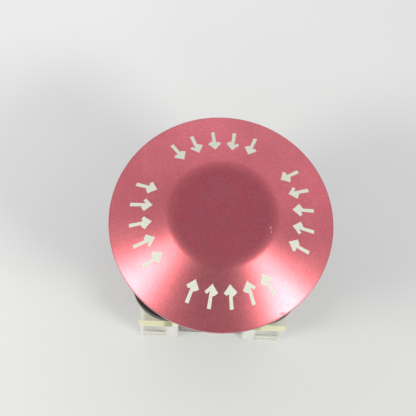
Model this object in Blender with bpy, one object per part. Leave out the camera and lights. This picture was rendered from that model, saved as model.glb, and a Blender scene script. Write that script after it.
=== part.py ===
"""Emergency stop button: a push-pull palm button that clamps into a 30.5 mm panel hole.

Run with: blender --background --python part.py

The button's axis is Z and its head faces +Z. The origin is the centre of the panel hole, in the
plane where the panel's rear face rests on the gasket. +Y is up when the panel stands upright.
Dimensions below are in millimetres, and every mesh is scaled to metres as it becomes an object.
The head is modelled pulled out. Pushing it moves the head, shaft and crossbar towards -Z.
"""

import math

import bmesh
import bpy
from mathutils import Matrix, Vector

MM = 0.001
ROUND = 40          # segments of the large round parts
SMALL_ROUND = 16    # segments of screws, pins and small holes
FIT = 0.15          # gap between pieces that touch or slide on the real button

TRAVEL = 6.0
SCREW_HOLE_RADIUS = 1.15

# Palm head
HEAD_RADIUS = 28.6
RIM_LOW = 13.65
RIM_HEIGHT = 1.35
RIM_ROUND = 0.25
CONE_ANGLE = math.radians(23.5)
CROWN_RADIUS = 10.5
CROWN_EDGE_ROUND = 9.5
SKIRT_WALL = 1.7
CROWN_WALL = 2.6
HUB_RADIUS = 8.0
HUB_LOW = 12.3
HUB_BORE_TOP = 18.6

# Shaft and what rides on it
SHAFT_RADIUS = 5.0
STUD_RADIUS = 4.0
NECK_RADIUS = 3.4
TAIL_RADIUS = 2.0
SHAFT_SHOULDER = -11.55
TAIL_SHOULDER = -22.65
TAIL_LOW = -30.5
TAIL_GROOVE = (-29.95, -29.35)
TAIL_GROOVE_RADIUS = 1.5
CLIP_RADIUS = 3.2
CLIP_GAP_HALF_ANGLE = 40
SET_SCREW_RADIUS = 1.1
SET_SCREW_HEIGHT = 14.5
CROSSBAR_LOW = -14.7
CROSSBAR_THICKNESS = 3.0
CROSSBAR_HALF = (19.0, 4.0)

# Clamping of the panel
THREAD_RADIUS = 15.0
PANEL_GAP = 5.0
WASHER_THICKNESS = 0.8
WASHER_RADIUS = 18.0
RING_HEIGHT = 4.0
RING_RADIUS = 18.5
RING_NOTCHES = 12
RING_NOTCH_RADIUS = 1.1
BARREL_TOP = 10.9
BARREL_CHAMFER = 0.7
SEAL_SEAT = 1.6
SEAL_SEAT_RADIUS = 10.6
SEAL_TOP = 5.0
RETAINER_THICKNESS = 0.7
RETAINER_BORE_RADIUS = 6.2
GUIDE_BORE_RADIUS = 7.2
SPIGOT_RADIUS = 12.0
SPIGOT_LOW = -8.0

# Gasket and rear housing
GASKET_THICKNESS = 1.0
GASKET_RADIUS = 20.0
FLANGE_HALF = 22.5
FLANGE_CORNER = 10.4
FLANGE_LOW = -4.5
HOUSING_RADIUS = 15.0
HOUSING_LOW = -11.4

# Latch housing, between the two contact blocks
CORE_HALF = (9.3, 19.0)
CORE_TOP = -21.0
REAR_FACE = -38.0
COVER_THICKNESS = 1.0
CAVITY_HALF = (8.4, 15.4)
CAVITY_TOP = -22.6
CHEEK_X = 12.5
CHEEK_Y = (5.2, 8.6)
EAR_X = 13.4
EAR_Y = (9.6, 14.2)
EAR_TOP = -18.4
CARRIER_SCREW_AT = (6.5, 6.9)
CARRIER_SCREW_LOW = -23.6
CARRIER_SCREW_GRIP = 2.4
CARRIER_SCREW_SIZE = (1.0, 1.6, 0.9)
COVER_SCREW_Y = 17.2
COVER_SCREW_LENGTH = 5.4
COVER_SCREW_SIZE = (0.85, 0.85, 0.6)

# Over-centre latch: two arms swing through the same angle above and below their pins
LATCH_PIN_Y = 10.9
LATCH_ARM_LENGTH = 7.2
LATCH_TIP_HIGH = -25.6
LATCH_PIN_Z = LATCH_TIP_HIGH - TRAVEL / 2
LATCH_TILT = math.asin(TRAVEL / 2 / LATCH_ARM_LENGTH)
LATCH_PIN_RADIUS = 0.95
LATCH_ARM_HALF_WIDTH = 7.9
LATCH_BARREL_RADIUS = 1.8
LATCH_TONGUE_HALF_WIDTH = 2.4
LATCH_PAD_REACH = 5.6
LATCH_PAD_X = 6.6
LATCH_SPRING = (1.2, 0.24)
SPOOL_RADIUS = 4.5
SPOOL_GROOVE_RADIUS = 2.6
SPOOL_GROOVE_HALF = 1.3
SPOOL_TOP = -22.8
SPOOL_LOW = -29.2

# Contact blocks: given for the block at +X, and mirrored for the one at -X
BLOCK_X = (9.6, 20.9)
BLOCK_HALF_Y = 20.8
BLOCK_TOP = -21.0
CHAMBER_X = (13.5, 19.9)
CHAMBER_HALF_Y = 19.35
CHAMBER_TOP = -22.4
PLUNGER_X = sum(CHAMBER_X) / 2
BLOCK_SCREW_AT = (11.6, 11.9)
BLOCK_SCREW_LENGTH = 18.6
BLOCK_SCREW_SIZE = (1.0, 1.7, 1.5)
BLOCK_COVER_HALF_Y = 12.4
BLOCK_COVER_THICKNESS = 1.2
WIRE_WINDOW_Z = (-35.6, -27.6)
TERMINAL_Y = 15.6
TERMINAL_Z = (-31.0, -30.2)
CLAMP_Z = (-33.0, -32.1)
TERMINAL_HEAD_Z = (-35.0, -33.2)
TERMINAL_TIP = -27.6
TERMINAL_SCREW_RADII = (1.4, 2.6)
TERMINAL_HOLE_RADIUS = 1.55
CLAMP_HALF = 2.9
STRIP_HALF_WIDTH = 2.8
STRIP_END = 18.7
CONTACT_TIP_Y = (3.8, 6.1)
FIXED_RISER_Y = (9.1, 9.9)
STRIP_THICKNESS = 0.8
NC_STRIP_TOP = -24.7
NC_TIP_LOW = -26.0
NO_TIP_TOP = -31.3
BRIDGE_THICKNESS = 0.7
BRIDGE_TIP = 0.5
BRIDGE_HALF_WIDTH = 1.4
NC_BRIDGE_TOP = -26.7
NO_BRIDGE_TOP = -26.5
PLUNGER_HALF = (2.2, 2.4)
PLUNGER_TOP = -17.0
PLUNGER_LOW = -30.6
WINDOW_HALF_X = 1.65
CONTACT_SPRING = (0.95, 0.2)
RETURN_SPRING = (1.6, 0.25)


# ---------------------------------------------------------------- shapes, in millimetres

def arc(centre, radius, start, end, steps):
    """Points of an arc in a plane, from one angle in degrees to another."""
    angles = [math.radians(start + (end - start) * i / steps) for i in range(steps + 1)]
    return [(centre[0] + radius * math.cos(a), centre[1] + radius * math.sin(a)) for a in angles]


def circle(radius, centre=(0, 0), segments=SMALL_ROUND):
    return arc(centre, radius, 0, 360, segments)[:-1]


def rectangle(u_range, v_range):
    (u0, u1), (v0, v1) = u_range, v_range
    return [(u0, v0), (u1, v0), (u1, v1), (u0, v1)]


def rounded_rectangle(half_u, half_v, radius, steps):
    outline = []
    corners = [(1, 1, 0), (-1, 1, 90), (-1, -1, 180), (1, -1, 270)]
    for sign_u, sign_v, start in corners:
        centre = (sign_u * (half_u - radius), sign_v * (half_v - radius))
        outline += arc(centre, radius, start, start + 90, steps)
    return outline


def revolve(profile, segments=ROUND):
    """A solid turned about Z from a closed profile of (radius, height) points."""
    bm = bmesh.new()
    turns = [2 * math.pi * i / segments for i in range(segments)]
    rings = []
    for radius, height in profile:
        if radius == 0:
            rings.append([bm.verts.new((0, 0, height))])
        else:
            rings.append([bm.verts.new((radius * math.cos(t), radius * math.sin(t), height)) for t in turns])
    for ring, after in zip(rings, rings[1:] + rings[:1]):
        if len(ring) == len(after) == 1:
            continue
        for i in range(segments):
            j = i + 1
            corners = [ring[i % len(ring)], ring[j % len(ring)], after[j % len(after)], after[i % len(after)]]
            bm.faces.new(list(dict.fromkeys(corners)))
    bmesh.ops.recalc_face_normals(bm, faces=bm.faces)
    return bm


def prism(outline, low, high, axis="z"):
    """A flat outline pushed along an axis. The outline is in XY for z, XZ for y and YZ for x."""
    to_xyz = {
        "x": lambda u, v, w: (w, u, v),
        "y": lambda u, v, w: (u, w, v),
        "z": lambda u, v, w: (u, v, w),
    }[axis]
    bm = bmesh.new()
    face = bm.faces.new([bm.verts.new(to_xyz(u, v, low)) for u, v in outline])
    made = bmesh.ops.extrude_face_region(bm, geom=[face])["geom"]
    pushed = [item for item in made if isinstance(item, bmesh.types.BMVert)]
    bmesh.ops.translate(bm, verts=pushed, vec=Vector(to_xyz(0, 0, high - low)))
    bmesh.ops.recalc_face_normals(bm, faces=bm.faces)
    return bm


def box(x_range, y_range, z_range):
    return prism(rectangle(x_range, y_range), *z_range)


def cylinder(radius, low, high, centre=(0, 0), axis="z", segments=SMALL_ROUND):
    return prism(circle(radius, centre, segments), low, high, axis)


def coil(radius, wire, low, high, turns, per_turn=14, sides=5):
    """A round wire wound about Z, with flat-capped ends, between two heights."""
    bm = bmesh.new()
    count = round(turns * per_turn)
    pitch = (high - low - 2 * wire) / turns
    rings = []
    for i in range(count + 1):
        turn = 2 * math.pi * i / per_turn
        outward = Vector((math.cos(turn), math.sin(turn), 0))
        along = Vector((-math.sin(turn) * radius, math.cos(turn) * radius, pitch / (2 * math.pi))).normalized()
        across = along.cross(outward)
        centre = outward * radius + Vector((0, 0, low + wire + pitch * i / per_turn))
        spokes = [2 * math.pi * k / sides for k in range(sides)]
        offsets = [wire * (math.cos(s) * outward + math.sin(s) * across) for s in spokes]
        rings.append([bm.verts.new(centre + offset) for offset in offsets])
    for ring, after in zip(rings, rings[1:]):
        for k in range(sides):
            m = (k + 1) % sides
            bm.faces.new([ring[k], ring[m], after[m], after[k]])
    bm.faces.new(rings[0][::-1])
    bm.faces.new(rings[-1])
    bmesh.ops.recalc_face_normals(bm, faces=bm.faces)
    return bm


# ---------------------------------------------------------------- scene helpers

def clear_scene():
    for obj in list(bpy.data.objects):
        bpy.data.objects.remove(obj)


def material(name, colour, roughness, metallic=0.0):
    made = bpy.data.materials.new(name)
    made.use_nodes = True
    shader = made.node_tree.nodes["Principled BSDF"]
    shader.inputs["Base Color"].default_value = (*colour, 1)
    shader.inputs["Roughness"].default_value = roughness
    shader.inputs["Metallic"].default_value = metallic
    return made


def mesh_of(bm, name):
    """A bmesh in millimetres made into a mesh in metres, round faces shaded smooth."""
    bm.transform(Matrix.Scale(MM, 4))
    mesh = bpy.data.meshes.new(name)
    bm.to_mesh(mesh)
    bm.free()
    mesh.shade_smooth()
    mesh.set_sharp_from_angle(angle=math.radians(35))
    return mesh


def body(name, at=(0, 0, 0)):
    """An empty on the axis of a group of pieces that move together."""
    empty = bpy.data.objects.new(name, None)
    empty.location = Vector(at) * MM
    bpy.context.scene.collection.objects.link(empty)
    return empty


def piece(name, bm, finish, group, at=(0, 0, 0), rotation=(0, 0, 0)):
    """One named solid, placed in the button's frame and parented to the group it moves with."""
    obj = bpy.data.objects.new(name, mesh_of(bm, name))
    obj.data.materials.append(finish)
    obj.parent = group
    obj.location = Vector(at) * MM - group.location
    obj.rotation_euler = rotation
    bpy.context.scene.collection.objects.link(obj)
    return obj


def combine(obj, shapes, operation):
    """Adds each shape to the solid, or cuts it away. Shapes are in the solid's own frame."""
    for number, bm in enumerate(shapes, len(obj.modifiers) + 1):
        tool = bpy.data.objects.new(f"{obj.name}_tool_{number}", mesh_of(bm, obj.name + "_tool"))
        tool.parent = obj
        tool.hide_render = True
        tool.display_type = "WIRE"
        bpy.context.scene.collection.objects.link(tool)
        modifier = obj.modifiers.new(f"{operation.lower()}_{number}", "BOOLEAN")
        modifier.operation = operation
        modifier.object = tool
    return obj


def cut(obj, *shapes):
    return combine(obj, shapes, "DIFFERENCE")


def join(obj, *shapes):
    return combine(obj, shapes, "UNION")


# ---------------------------------------------------------------- head and shaft

def cone_height(radius):
    """Height of the head's sloping face at a radius."""
    foot = HEAD_RADIUS - RIM_ROUND
    return RIM_LOW + RIM_HEIGHT + (foot - radius) * math.tan(CONE_ANGLE)


def head_profile():
    slope = math.degrees(CONE_ANGLE)
    cone_top_radius = CROWN_RADIUS + CROWN_EDGE_ROUND * math.sin(CONE_ANGLE)
    crown = cone_height(cone_top_radius) + CROWN_EDGE_ROUND * (1 - math.cos(CONE_ANGLE))
    shell_drop = SKIRT_WALL / math.cos(CONE_ANGLE)
    ceiling = crown - CROWN_WALL

    def inner_radius(height):
        return HEAD_RADIUS - RIM_ROUND - (height + shell_drop - RIM_LOW - RIM_HEIGHT) / math.tan(CONE_ANGLE)

    edge = arc((CROWN_RADIUS, crown - CROWN_EDGE_ROUND), CROWN_EDGE_ROUND, 90, 90 - slope, 4)
    rim_top = RIM_LOW + RIM_HEIGHT
    return [
        (0, crown),
        *edge,
        (HEAD_RADIUS - RIM_ROUND, rim_top),
        (HEAD_RADIUS, rim_top - RIM_ROUND),
        (HEAD_RADIUS, RIM_LOW + RIM_ROUND),
        (HEAD_RADIUS - RIM_ROUND, RIM_LOW),
        (inner_radius(RIM_LOW), RIM_LOW),
        (inner_radius(ceiling), ceiling),
        (HUB_RADIUS, ceiling),
        (HUB_RADIUS, HUB_LOW),
        (STUD_RADIUS + FIT, HUB_LOW),
        (STUD_RADIUS + FIT, HUB_BORE_TOP),
        (0, HUB_BORE_TOP),
    ]


def build_head(group, finish):
    head = piece("palm_head", revolve(head_profile()), finish["red_anodised"], group)
    cut(head, cylinder(SET_SCREW_RADIUS + FIT, 2.0, HUB_RADIUS + 1.0, (0, SET_SCREW_HEIGHT), "x"))
    screw = cylinder(SET_SCREW_RADIUS, STUD_RADIUS + FIT, HUB_RADIUS - 0.4, axis="x")
    piece("head_set_screw", screw, finish["steel"], group, (0, 0, SET_SCREW_HEIGHT))


def shaft_profile():
    return [
        (0, HUB_BORE_TOP - FIT),
        (STUD_RADIUS, HUB_BORE_TOP - FIT),
        (STUD_RADIUS, HUB_LOW - FIT),
        (SHAFT_RADIUS, HUB_LOW - FIT),
        (SHAFT_RADIUS, SHAFT_SHOULDER),
        (NECK_RADIUS, SHAFT_SHOULDER),
        (NECK_RADIUS, TAIL_SHOULDER),
        (TAIL_RADIUS, TAIL_SHOULDER),
        (TAIL_RADIUS, TAIL_GROOVE[1]),
        (TAIL_GROOVE_RADIUS, TAIL_GROOVE[1]),
        (TAIL_GROOVE_RADIUS, TAIL_GROOVE[0]),
        (TAIL_RADIUS, TAIL_GROOVE[0]),
        (TAIL_RADIUS, TAIL_LOW),
        (0, TAIL_LOW),
    ]


def build_shaft(group, finish):
    piece("operator_shaft", revolve(shaft_profile(), 24), finish["steel"], group)

    half_x, half_y = CROSSBAR_HALF
    outline = rounded_rectangle(half_x, half_y, half_y - FIT, 5)
    crossbar = prism(outline, 0, CROSSBAR_THICKNESS)
    bar = piece("actuator_crossbar", crossbar, finish["black_plastic"], group, (0, 0, CROSSBAR_LOW))
    cut(bar, cylinder(NECK_RADIUS + FIT, -1, CROSSBAR_THICKNESS + 1, segments=24))

    bore = TAIL_RADIUS + FIT
    groove_low = LATCH_TIP_HIGH - SPOOL_GROOVE_HALF
    groove_high = LATCH_TIP_HIGH + SPOOL_GROOVE_HALF
    spool = [
        (bore, SPOOL_TOP),
        (SPOOL_RADIUS, SPOOL_TOP),
        (SPOOL_RADIUS, groove_high),
        (SPOOL_GROOVE_RADIUS, groove_high),
        (SPOOL_GROOVE_RADIUS, groove_low),
        (SPOOL_RADIUS, groove_low),
        (SPOOL_RADIUS, SPOOL_LOW),
        (bore, SPOOL_LOW),
    ]
    piece("latch_spool", revolve(spool, 24), finish["steel"], group)

    thickness = TAIL_GROOVE[1] - TAIL_GROOVE[0] - 0.1
    start, end = CLIP_GAP_HALF_ANGLE, 360 - CLIP_GAP_HALF_ANGLE
    outer = arc((0, 0), CLIP_RADIUS, start, end, 14)
    inner = arc((0, 0), TAIL_GROOVE_RADIUS + 0.08, end, start, 14)
    clip = prism(outer + inner, 0, thickness)
    piece("spool_retaining_clip", clip, finish["steel"], group, (0, 0, TAIL_GROOVE[0] + 0.05))


# ---------------------------------------------------------------- panel clamp and housing

def notched_outline():
    """The mounting ring's outer edge, with a round notch for the ring wrench between each pair of lands."""
    pitch = 360 / RING_NOTCHES
    half_angle = math.degrees(RING_NOTCH_RADIUS / RING_RADIUS)
    outline = []
    for i in range(RING_NOTCHES):
        middle = i * pitch
        turn = math.radians(middle)
        centre = (RING_RADIUS * math.cos(turn), RING_RADIUS * math.sin(turn))
        outline += arc(centre, RING_NOTCH_RADIUS, middle - 100, middle - 260, 4)
        outline += arc((0, 0), RING_RADIUS, middle + 1.5 * half_angle, middle + pitch - 1.5 * half_angle, 3)
    return outline


def build_panel_clamp(group, finish):
    thread_clear = THREAD_RADIUS + FIT
    washer_low = PANEL_GAP + FIT
    ring_low = washer_low + WASHER_THICKNESS + FIT

    washer = revolve(rectangle((thread_clear, WASHER_RADIUS), (0, WASHER_THICKNESS)))
    piece("ring_washer", washer, finish["steel"], group, (0, 0, washer_low))

    ring = prism(notched_outline(), 0, RING_HEIGHT)
    nut = piece("mounting_ring", ring, finish["zinc"], group, (0, 0, ring_low))
    cut(nut, cylinder(thread_clear, -1, RING_HEIGHT + 1, segments=ROUND))

    gasket = revolve(rectangle((THREAD_RADIUS + 2 * FIT, GASKET_RADIUS), (-GASKET_THICKNESS, 0)))
    piece("panel_gasket", gasket, finish["rubber"], group)


def build_bushing(group, finish):
    barrel = revolve([
        (THREAD_RADIUS - BARREL_CHAMFER, BARREL_TOP),
        (THREAD_RADIUS, BARREL_TOP - BARREL_CHAMFER),
        (THREAD_RADIUS, -GASKET_THICKNESS),
        (SPIGOT_RADIUS, -GASKET_THICKNESS),
        (SPIGOT_RADIUS, SPIGOT_LOW),
        (GUIDE_BORE_RADIUS, SPIGOT_LOW),
        (GUIDE_BORE_RADIUS, SEAL_SEAT),
        (SEAL_SEAT_RADIUS, SEAL_SEAT),
        (SEAL_SEAT_RADIUS, BARREL_TOP),
    ])
    piece("threaded_bushing", barrel, finish["zinc"], group)

    bush_radii = (SHAFT_RADIUS + FIT, GUIDE_BORE_RADIUS - FIT)
    guide = revolve(rectangle(bush_radii, (HOUSING_LOW + FIT, SEAL_SEAT - FIT)), 24)
    piece("shaft_guide_bush", guide, finish["white_plastic"], group)

    seat = SEAL_SEAT_RADIUS - FIT
    lip = SHAFT_RADIUS + FIT
    seal = revolve([
        (lip + 1.3, SEAL_SEAT + FIT),
        (seat, SEAL_SEAT + FIT),
        (seat, SEAL_TOP),
        (seat - 1.6, SEAL_TOP),
        (seat - 2.2, SEAL_TOP - 1.6),
        (lip + 1.6, SEAL_TOP - 1.6),
        (lip, SEAL_TOP - 0.2),
        (lip, SEAL_TOP - 1.0),
    ], 32)
    piece("shaft_seal", seal, finish["rubber"], group)

    low = SEAL_TOP + FIT
    retainer = revolve(rectangle((RETAINER_BORE_RADIUS, seat), (low, low + RETAINER_THICKNESS)), 32)
    piece("seal_retainer", retainer, finish["steel"], group)


def build_rear_housing(group, finish):
    flange_top = -GASKET_THICKNESS - 0.1
    flange = prism(rounded_rectangle(FLANGE_HALF, FLANGE_HALF, FLANGE_CORNER, 8), FLANGE_LOW, flange_top)
    rear = piece("rear_housing", flange, finish["black_plastic"], group)
    join(rear, cylinder(HOUSING_RADIUS, HOUSING_LOW, FLANGE_LOW + 1, segments=ROUND))
    cut(rear, cylinder(GUIDE_BORE_RADIUS, HOUSING_LOW - 1, flange_top + 1, segments=ROUND))
    cut(rear, cylinder(SPIGOT_RADIUS + FIT, SPIGOT_LOW - FIT, flange_top + 1, segments=ROUND))
    for side in (-1, 1):
        centre = carrier_screw_centre(side)
        depth = CARRIER_SCREW_GRIP + 0.2
        cut(rear, cylinder(SCREW_HOLE_RADIUS, HOUSING_LOW - 1, HOUSING_LOW + depth, centre, segments=12))


# ---------------------------------------------------------------- latch housing and latch

def carrier_screw_centre(side):
    x, y = CARRIER_SCREW_AT
    return (side * x, side * y)


def screw(length, shank, head, head_height, segments=12):
    """A screw along Z with its head's outer face at z = 0 and its shank above it."""
    return revolve([
        (0, 0),
        (head, 0),
        (head, head_height),
        (shank, head_height),
        (shank, length),
        (0, length),
    ], segments)


def build_latch_housing(group, finish):
    half_x, half_y = CORE_HALF
    core_low = REAR_FACE + COVER_THICKNESS + 0.1
    core = box((-half_x, half_x), (-half_y, half_y), (core_low, CORE_TOP))
    frame = piece("latch_housing", core, finish["zinc"], group)
    cheek_top = HOUSING_LOW - FIT
    neck_x = (-half_x + 0.2, half_x - 0.2)
    neck_z = (CORE_TOP - 0.8, CORE_TOP + 1.2)
    for side in (-1, 1):
        near, far = sorted(side * y for y in CHEEK_Y)
        join(frame, box((-CHEEK_X, CHEEK_X), (near, far), (CORE_TOP + 0.25, cheek_top)))
        join(frame, box(neck_x, (near + 0.1, far - 0.1), neck_z))
        near, far = sorted(side * y for y in EAR_Y)
        join(frame, box((-EAR_X, EAR_X), (near, far), (CORE_TOP + FIT, EAR_TOP)))
        join(frame, box(neck_x, (near + 0.1, far - 0.1), neck_z))

    cavity_x, cavity_y = CAVITY_HALF
    cut(frame, box((-cavity_x, cavity_x), (-cavity_y, cavity_y), (core_low - 1, CAVITY_TOP)))
    cut(frame, cylinder(SPOOL_RADIUS + 0.3, CAVITY_TOP - 1, CORE_TOP + 0.1, segments=24))
    for side in (-1, 1):
        pin_hole = LATCH_PIN_RADIUS + FIT
        cut(frame, cylinder(pin_hole, -half_x - 1, half_x + 1, (side * LATCH_PIN_Y, LATCH_PIN_Z), "x", 12))
        at = (0, side * COVER_SCREW_Y)
        cut(frame, cylinder(COVER_SCREW_SIZE[0] + FIT, core_low - 1, core_low + 6, at, segments=12))
        at = carrier_screw_centre(side)
        cut(frame, cylinder(SCREW_HOLE_RADIUS, CAVITY_TOP - 1, cheek_top + 1, at, segments=12))
        for across in (-1, 1):
            at = (across * BLOCK_SCREW_AT[0], side * BLOCK_SCREW_AT[1])
            cut(frame, cylinder(SCREW_HOLE_RADIUS, CORE_TOP - 1, EAR_TOP + 1, at, segments=12))

    plate = box((-half_x, half_x), (-half_y, half_y), (REAR_FACE, REAR_FACE + COVER_THICKNESS))
    cover = piece("latch_cover", plate, finish["zinc"], group)
    for side, name in ((-1, "lower"), (1, "upper")):
        at = (0, side * COVER_SCREW_Y)
        cut(cover, cylinder(COVER_SCREW_SIZE[0] + 0.2, REAR_FACE - 1, REAR_FACE + 2, at, segments=12))
        thread = screw(COVER_SCREW_LENGTH, *COVER_SCREW_SIZE)
        piece(f"latch_cover_screw_{name}", thread, finish["steel"], group, (*at, REAR_FACE + FIT))


def build_latch_fixings(group, finish):
    for side, name in ((-1, "lower"), (1, "upper")):
        pin = cylinder(LATCH_PIN_RADIUS, -CORE_HALF[0], CORE_HALF[0], axis="x", segments=12)
        piece(f"latch_pin_{name}", pin, finish["steel"], group, (0, side * LATCH_PIN_Y, LATCH_PIN_Z))
        x, y = carrier_screw_centre(side)
        fixing = screw(HOUSING_LOW + CARRIER_SCREW_GRIP - CARRIER_SCREW_LOW, *CARRIER_SCREW_SIZE)
        label = "left" if side < 0 else "right"
        piece(f"carrier_screw_{label}", fixing, finish["steel"], group, (x, y, CARRIER_SCREW_LOW))


def latch_arm_outlines():
    """The arm lies along +Y from its pin at the origin. Outlines are in YZ, for a push along X."""
    tip_centre = LATCH_ARM_LENGTH + 0.1
    tongue = arc((tip_centre, 0), 0.8, -90, 90, 6) + [(4.6, 0.8), (4.6, -0.8)]
    web = rectangle((0.9, 5.0), (-0.7, 0.7))
    pad = rectangle((LATCH_PAD_REACH - 1.1, LATCH_PAD_REACH), (-1.6, 1.6))
    return tongue, web, pad


def build_latch_arm(side, group, finish):
    """side is +1 for the arm above the shaft, which points to -Y, and -1 for the one below."""
    name = "upper" if side > 0 else "lower"
    tongue, web, pad = latch_arm_outlines()
    half_width = LATCH_ARM_HALF_WIDTH
    arm = piece(
        f"latch_arm_{name}",
        cylinder(LATCH_BARREL_RADIUS, -half_width, half_width, axis="x", segments=14),
        finish["steel"],
        group,
        (0, side * LATCH_PIN_Y, LATCH_PIN_Z),
        (LATCH_TILT, 0, math.pi if side > 0 else 0),
    )
    join(arm, prism(web, -half_width + 0.1, half_width - 0.1, "x"))
    join(arm, prism(tongue, -LATCH_TONGUE_HALF_WIDTH, LATCH_TONGUE_HALF_WIDTH, "x"))
    for across in (-1, 1):
        low, high = sorted((across * (half_width - 0.2), across * (LATCH_PAD_X - 1.3)))
        join(arm, prism(pad, low, high, "x"))
    cut(arm, cylinder(LATCH_PIN_RADIUS + FIT, -half_width - 1, half_width + 1, axis="x", segments=12))


def build_latch_springs(group, finish):
    pad_height = LATCH_PIN_Z + LATCH_PAD_REACH * math.sin(LATCH_TILT)
    half_length = LATCH_PIN_Y - LATCH_PAD_REACH * math.cos(LATCH_TILT) - 0.8
    for side, name in ((-1, "left"), (1, "right")):
        spring = coil(*LATCH_SPRING, -half_length, half_length, 7, 12)
        at = (side * LATCH_PAD_X, 0, pad_height)
        piece(f"latch_spring_{name}", spring, finish["steel"], group, at, (math.pi / 2, 0, 0))


# ---------------------------------------------------------------- contact blocks

def ordered(side, x_range):
    """An X range of the +X block, mirrored when side is -1."""
    return tuple(sorted(side * x for x in x_range))


def build_block_shell(side, prefix, group, finish):
    shell = box(ordered(side, BLOCK_X), (-BLOCK_HALF_Y, BLOCK_HALF_Y), (REAR_FACE, BLOCK_TOP))
    housing = piece(f"{prefix}_block_housing", shell, finish["clear_plastic"], group)
    chamber = (-CHAMBER_HALF_Y, CHAMBER_HALF_Y)
    cut(housing, box(ordered(side, CHAMBER_X), chamber, (REAR_FACE - 1, CHAMBER_TOP)))
    window_x = ordered(side, (CHAMBER_X[0] - 0.5, CHAMBER_X[1] - 0.1))
    for end in (-1, 1):
        reach = tuple(sorted((end * (CHAMBER_HALF_Y - 0.5), end * (BLOCK_HALF_Y + 1))))
        cut(housing, box(window_x, reach, WIRE_WINDOW_Z))
        at = (side * BLOCK_SCREW_AT[0], end * BLOCK_SCREW_AT[1])
        cut(housing, cylinder(SCREW_HOLE_RADIUS, REAR_FACE - 1, BLOCK_TOP + 1, at, segments=12))
        head_radius, head_height = BLOCK_SCREW_SIZE[1:]
        sink = cylinder(head_radius + FIT, REAR_FACE - 1, REAR_FACE + head_height + 2 * FIT, at, segments=12)
        cut(housing, sink)
        fixing = screw(BLOCK_SCREW_LENGTH, *BLOCK_SCREW_SIZE)
        label = f"{prefix}_block_screw_{'upper' if end > 0 else 'lower'}"
        piece(label, fixing, finish["steel"], group, (*at, REAR_FACE + FIT))
    cut(housing, cylinder(2.5, CHAMBER_TOP - 1, BLOCK_TOP + 1, (side * PLUNGER_X, 0)))

    low, high = ordered(side, CHAMBER_X)
    lid = (-BLOCK_COVER_HALF_Y, BLOCK_COVER_HALF_Y)
    cover = box((low + FIT, high - FIT), lid, (REAR_FACE, REAR_FACE + BLOCK_COVER_THICKNESS))
    piece(f"{prefix}_block_cover", cover, finish["clear_plastic"], group)


def fixed_contact_outline(closed_at_rest):
    """Side view in YZ of the strip from the contact tip to the terminal, for the +Y end."""
    low, high = TERMINAL_Z
    tip_in, tip_out = CONTACT_TIP_Y
    tip_in -= 0.1
    riser_in, riser_out = FIXED_RISER_Y
    if closed_at_rest:
        return [
            (tip_in, NC_STRIP_TOP), (riser_out, NC_STRIP_TOP), (riser_out, high), (STRIP_END, high),
            (STRIP_END, low), (riser_in, low), (riser_in, NC_STRIP_TOP - STRIP_THICKNESS),
            (tip_out, NC_STRIP_TOP - STRIP_THICKNESS), (tip_out, NC_TIP_LOW), (tip_in, NC_TIP_LOW),
        ]
    return [
        (tip_in, NO_TIP_TOP), (tip_out, NO_TIP_TOP), (tip_out, NO_TIP_TOP - 0.5),
        (riser_in, NO_TIP_TOP - 0.5), (riser_in, high), (STRIP_END, high), (STRIP_END, low), (riser_out, low),
        (riser_out, NO_TIP_TOP - 0.5 - STRIP_THICKNESS), (tip_in, NO_TIP_TOP - 0.5 - STRIP_THICKNESS),
    ]


def build_terminals(side, prefix, closed_at_rest, group, finish):
    outline = fixed_contact_outline(closed_at_rest)
    for end, name in ((-1, "lower"), (1, "upper")):
        x = side * PLUNGER_X
        strip = prism([(end * y, z) for y, z in outline], x - STRIP_HALF_WIDTH, x + STRIP_HALF_WIDTH, "x")
        contact = piece(f"{prefix}_fixed_contact_{name}", strip, finish["brass"], group)
        centre = (x, end * TERMINAL_Y)
        cut(contact, cylinder(TERMINAL_HOLE_RADIUS, TERMINAL_Z[0] - 1, TERMINAL_Z[1] + 1, centre, segments=12))

        y_range = tuple(sorted((end * (TERMINAL_Y - CLAMP_HALF), end * (TERMINAL_Y + CLAMP_HALF))))
        clamp = piece(
            f"{prefix}_clamp_plate_{name}",
            box((x - CLAMP_HALF, x + CLAMP_HALF), y_range, CLAMP_Z),
            finish["steel"],
            group,
        )
        cut(clamp, cylinder(TERMINAL_HOLE_RADIUS, CLAMP_Z[0] - 1, CLAMP_Z[1] + 1, centre, segments=12))

        head_low, head_high = TERMINAL_HEAD_Z
        fixing = screw(TERMINAL_TIP - head_low, *TERMINAL_SCREW_RADII, head_high - head_low, SMALL_ROUND)
        piece(f"{prefix}_terminal_screw_{name}", fixing, finish["steel"], group, (*centre, head_low))


def build_plunger(side, prefix, window_z, group, finish):
    x = side * PLUNGER_X
    half_x, half_y = PLUNGER_HALF
    shoulder = CHAMBER_TOP - 0.2
    bar = box((-half_x, half_x), (-half_y, half_y), (PLUNGER_LOW, shoulder))
    colour = finish["red_plastic"] if prefix == "nc" else finish["green_plastic"]
    plunger = piece(f"{prefix}_plunger", bar, colour, group, (x, 0, 0))
    join(plunger, cylinder(half_x - 0.05, shoulder - 0.5, PLUNGER_TOP))
    cut(plunger, box((-WINDOW_HALF_X, WINDOW_HALF_X), (-half_y - 1, half_y + 1), window_z))


def bridge_outline(top, tips_up):
    """Side view in YZ of a contact bridge, with a contact tip at each end."""
    tip_in, tip_out = CONTACT_TIP_Y
    low = top - BRIDGE_THICKNESS
    if tips_up:
        half = [(tip_out, low), (tip_out, top + BRIDGE_TIP), (tip_in, top + BRIDGE_TIP), (tip_in, top)]
    else:
        half = [(tip_out, top), (tip_out, low - BRIDGE_TIP), (tip_in, low - BRIDGE_TIP), (tip_in, low)]
    return half + [(-y, z) for y, z in reversed(half)]


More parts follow.
